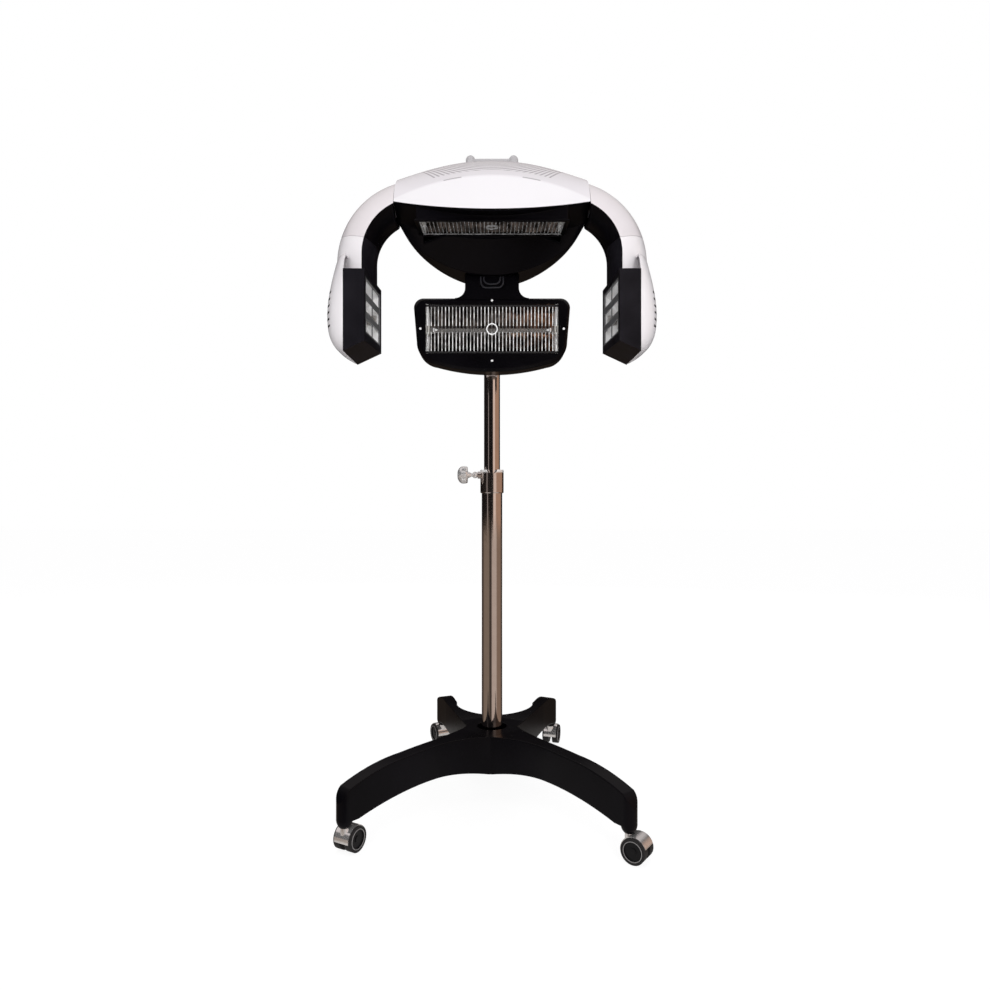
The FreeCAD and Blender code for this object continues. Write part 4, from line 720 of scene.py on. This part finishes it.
fix("timer_pointer", closed_mesh("timer_pointer", pointer), marking, "timer")


# ------------------------------------------------------------------------------
# Top unit: a white cover over a black bowl, with a lamp in its underside and a grey
# carrying handle.

dress(black, "top_shell")
wind_coil("top_infrared_tube", "top_unit", LONG_COIL)

# The cover's roof has rings of vent slots round its middle, and two short slits at the crease
# that parts the roof from the smooth visor face; both are drawn as painted shade over a shallow
# dent.
# The roof is painted a darker white than the visor, as shade on its upward faces.
VENT_MIDDLE_Y = -0.108
VENT_PITCH, VENT_SHARE = 0.0066, 0.42
VENT_INNER, VENT_OUTER = 0.042, 0.150
VENT_FRONT, VENT_BACK, VENT_FOOT = -0.205, -0.03, 1.22
CREASE_TOP, CREASE_BEND = 1.2525, 1.2
SLIT_INNER, SLIT_OUTER, SLIT_HALF, SLIT_BACK = 0.058, 0.092, 0.0011, -0.15
VISOR_BACK, VISOR_EDGE, VISOR_FULL = -0.10, 0.0015, -0.004
VENT_SHADE, VENT_DEPTH = 0.55, 0.0008
vented = Finish("vented_white_moulding")
fine = vented.grain(1500.0, 3.0)
flow = vented.grain(6.0, 3.0)
x, y, z = vented.place()
back = y - VENT_MIDDLE_Y
radius = vented.sum("SQRT", x * x + back * back)
groove = vented.sum("FRACT", radius / VENT_PITCH) < VENT_SHARE
zone = (radius > VENT_INNER) * (radius < VENT_OUTER)
zone = zone * (y > VENT_FRONT) * (y < VENT_BACK) * (z > VENT_FOOT)
above = z - (CREASE_TOP - x * x * CREASE_BEND)
slit = (abs(x) > SLIT_INNER) * (abs(x) < SLIT_OUTER) * (abs(above) < SLIT_HALF)
cut = vented.sum("MAXIMUM", groove * zone, slit * (y < SLIT_BACK))
visor = vented.rise(above, VISOR_EDGE, VISOR_FULL) * (y < VISOR_BACK)
# Painted shade: the roof behind the crease is a darker white than the visor.
roof_painted_shade = vented.blend(flow, (0.68, 0.655, 0.68, 1.0), (0.72, 0.695, 0.72, 1.0))
skin = vented.blend(visor, roof_painted_shade, (0.79, 0.775, 0.795, 1.0))
relief = vented.relief(fine, 0.00003)
vented.surface(vented.principled(
    Base_Color=vented.blend(cut * VENT_SHADE, skin, (0.16, 0.15, 0.16, 1.0)),
    Roughness=0.2 + flow * 0.1, Normal=vented.relief(1 - cut, VENT_DEPTH, relief),
    Coat_Weight=0.25))
dress(vented, "top_cover")

grey = Finish("grey_handle")
fine = grey.grain(1300.0, 3.0)
grey.surface(grey.principled(
    Base_Color=grey.blend(fine, (0.42, 0.41, 0.42, 1.0), (0.50, 0.49, 0.50, 1.0)),
    Roughness=0.4, Normal=grey.relief(fine, 0.00005)))
dress(grey, "carry_handle")
dress(zinc, "arm_hinge_lugs")


# ------------------------------------------------------------------------------
# Arms: a white cover outside, a black liner inside and a steel strip between them,
# hinged on the top unit.

# The arm covers are painted a darker, pinker white than the other white mouldings, as painted
# shade.
shaded_arm_skin = Finish("arm_white_moulding_painted_shade")
fine = shaded_arm_skin.grain(1500.0, 3.0)
flow = shaded_arm_skin.grain(6.0, 3.0)
shaded_arm_skin.surface(shaded_arm_skin.principled(
    Base_Color=shaded_arm_skin.blend(flow, (0.68, 0.64, 0.655, 1.0), (0.72, 0.68, 0.695, 1.0)),
    Roughness=0.2 + flow * 0.1, Normal=shaded_arm_skin.relief(fine, 0.00003), Coat_Weight=0.25))
for side in ("left", "right"):
    dress(shaded_arm_skin, "arm_cover_" + side)
    dress(black, "arm_liner_" + side)
    dress(zinc, "arm_frame_" + side)


# ------------------------------------------------------------------------------
# Side lamps: a black box with a short infrared tube between a matt white reflector and a
# pressed steel louvre, and a white outer cover, turning on a pin at the end of the arm.

painted_steel = Finish("dark_steel")
fine = painted_steel.grain(1000.0, 3.0)
painted_steel.surface(painted_steel.principled(
    Base_Color=painted_steel.blend(fine, (0.10, 0.10, 0.105, 1.0), (0.22, 0.22, 0.225, 1.0)),
    Metallic=0.3, Roughness=0.3 + fine * 0.1, Normal=painted_steel.relief(fine, 0.00004)))

bright = Finish("matt_reflector")
cloud = bright.grain(90.0, 3.0)
bright.surface(bright.principled(
    Base_Color=bright.blend(cloud, (0.94, 0.94, 0.935, 1.0), (0.99, 0.99, 0.985, 1.0)),
    Metallic=0.0, Roughness=0.4 + cloud * 0.15))

box_black = Finish("side_box_black")
fine = box_black.grain(1500.0, 4.0)
flow = box_black.grain(14.0, 2.0)
# The purple mottling of the box's black is painted sheen.
box_black.surface(box_black.principled(
    Base_Color=box_black.blend(flow, (0.0015, 0.0013, 0.002, 1.0), (0.015, 0.0135, 0.018, 1.0)),
    Roughness=0.26 + flow * 0.1, Normal=box_black.relief(fine, 0.00003),
    Specular_IOR_Level=0.15))

# The vents cut through the outer cover are carried on to their front ends as dark slots of
# painted shade.
SLOT_PITCH, SLOT_SHARE = 0.0128, 0.344
SLOT_FIRST, SLOT_TOP, SLOT_FOOT = 0.968, 1.0345, 0.9655
SLOT_FRONT, SLOT_BACK = -0.217, -0.194
SLOT_SHADE = 0.95
slotted = Finish("slotted_white_moulding")
fine = slotted.grain(1500.0, 3.0)
flow = slotted.grain(6.0, 3.0)
x, y, z = slotted.place()
step = (z - SLOT_FIRST) / SLOT_PITCH + SLOT_SHARE / 2
slot = (slotted.sum("FRACT", step) < SLOT_SHARE) * (z > SLOT_FOOT) * (z < SLOT_TOP)
slot = slot * (y > SLOT_FRONT) * (y < SLOT_BACK)
skin = slotted.blend(flow, (0.79, 0.765, 0.78, 1.0), (0.83, 0.805, 0.82, 1.0))
slotted.surface(slotted.principled(
    Base_Color=slotted.blend(slot * SLOT_SHADE, skin, (0.02, 0.02, 0.02, 1.0)),
    Roughness=0.2 + flow * 0.1, Normal=slotted.relief(fine, 0.00003), Coat_Weight=0.25))
SIDE_COIL = 0.036        # half the length of a coil in a side tube
for side in ("left", "right"):
    wind_coil("side_infrared_tube_" + side, "side_lamp_" + side, SIDE_COIL, turns=22.0)
    dress(box_black, "side_housing_" + side)
    dress(slotted, "side_cover_" + side)
    dress(painted_steel, "side_louvre_" + side)
    dress(bright, "side_reflector_" + side)
    dress(zinc, "side_swivel_" + side)
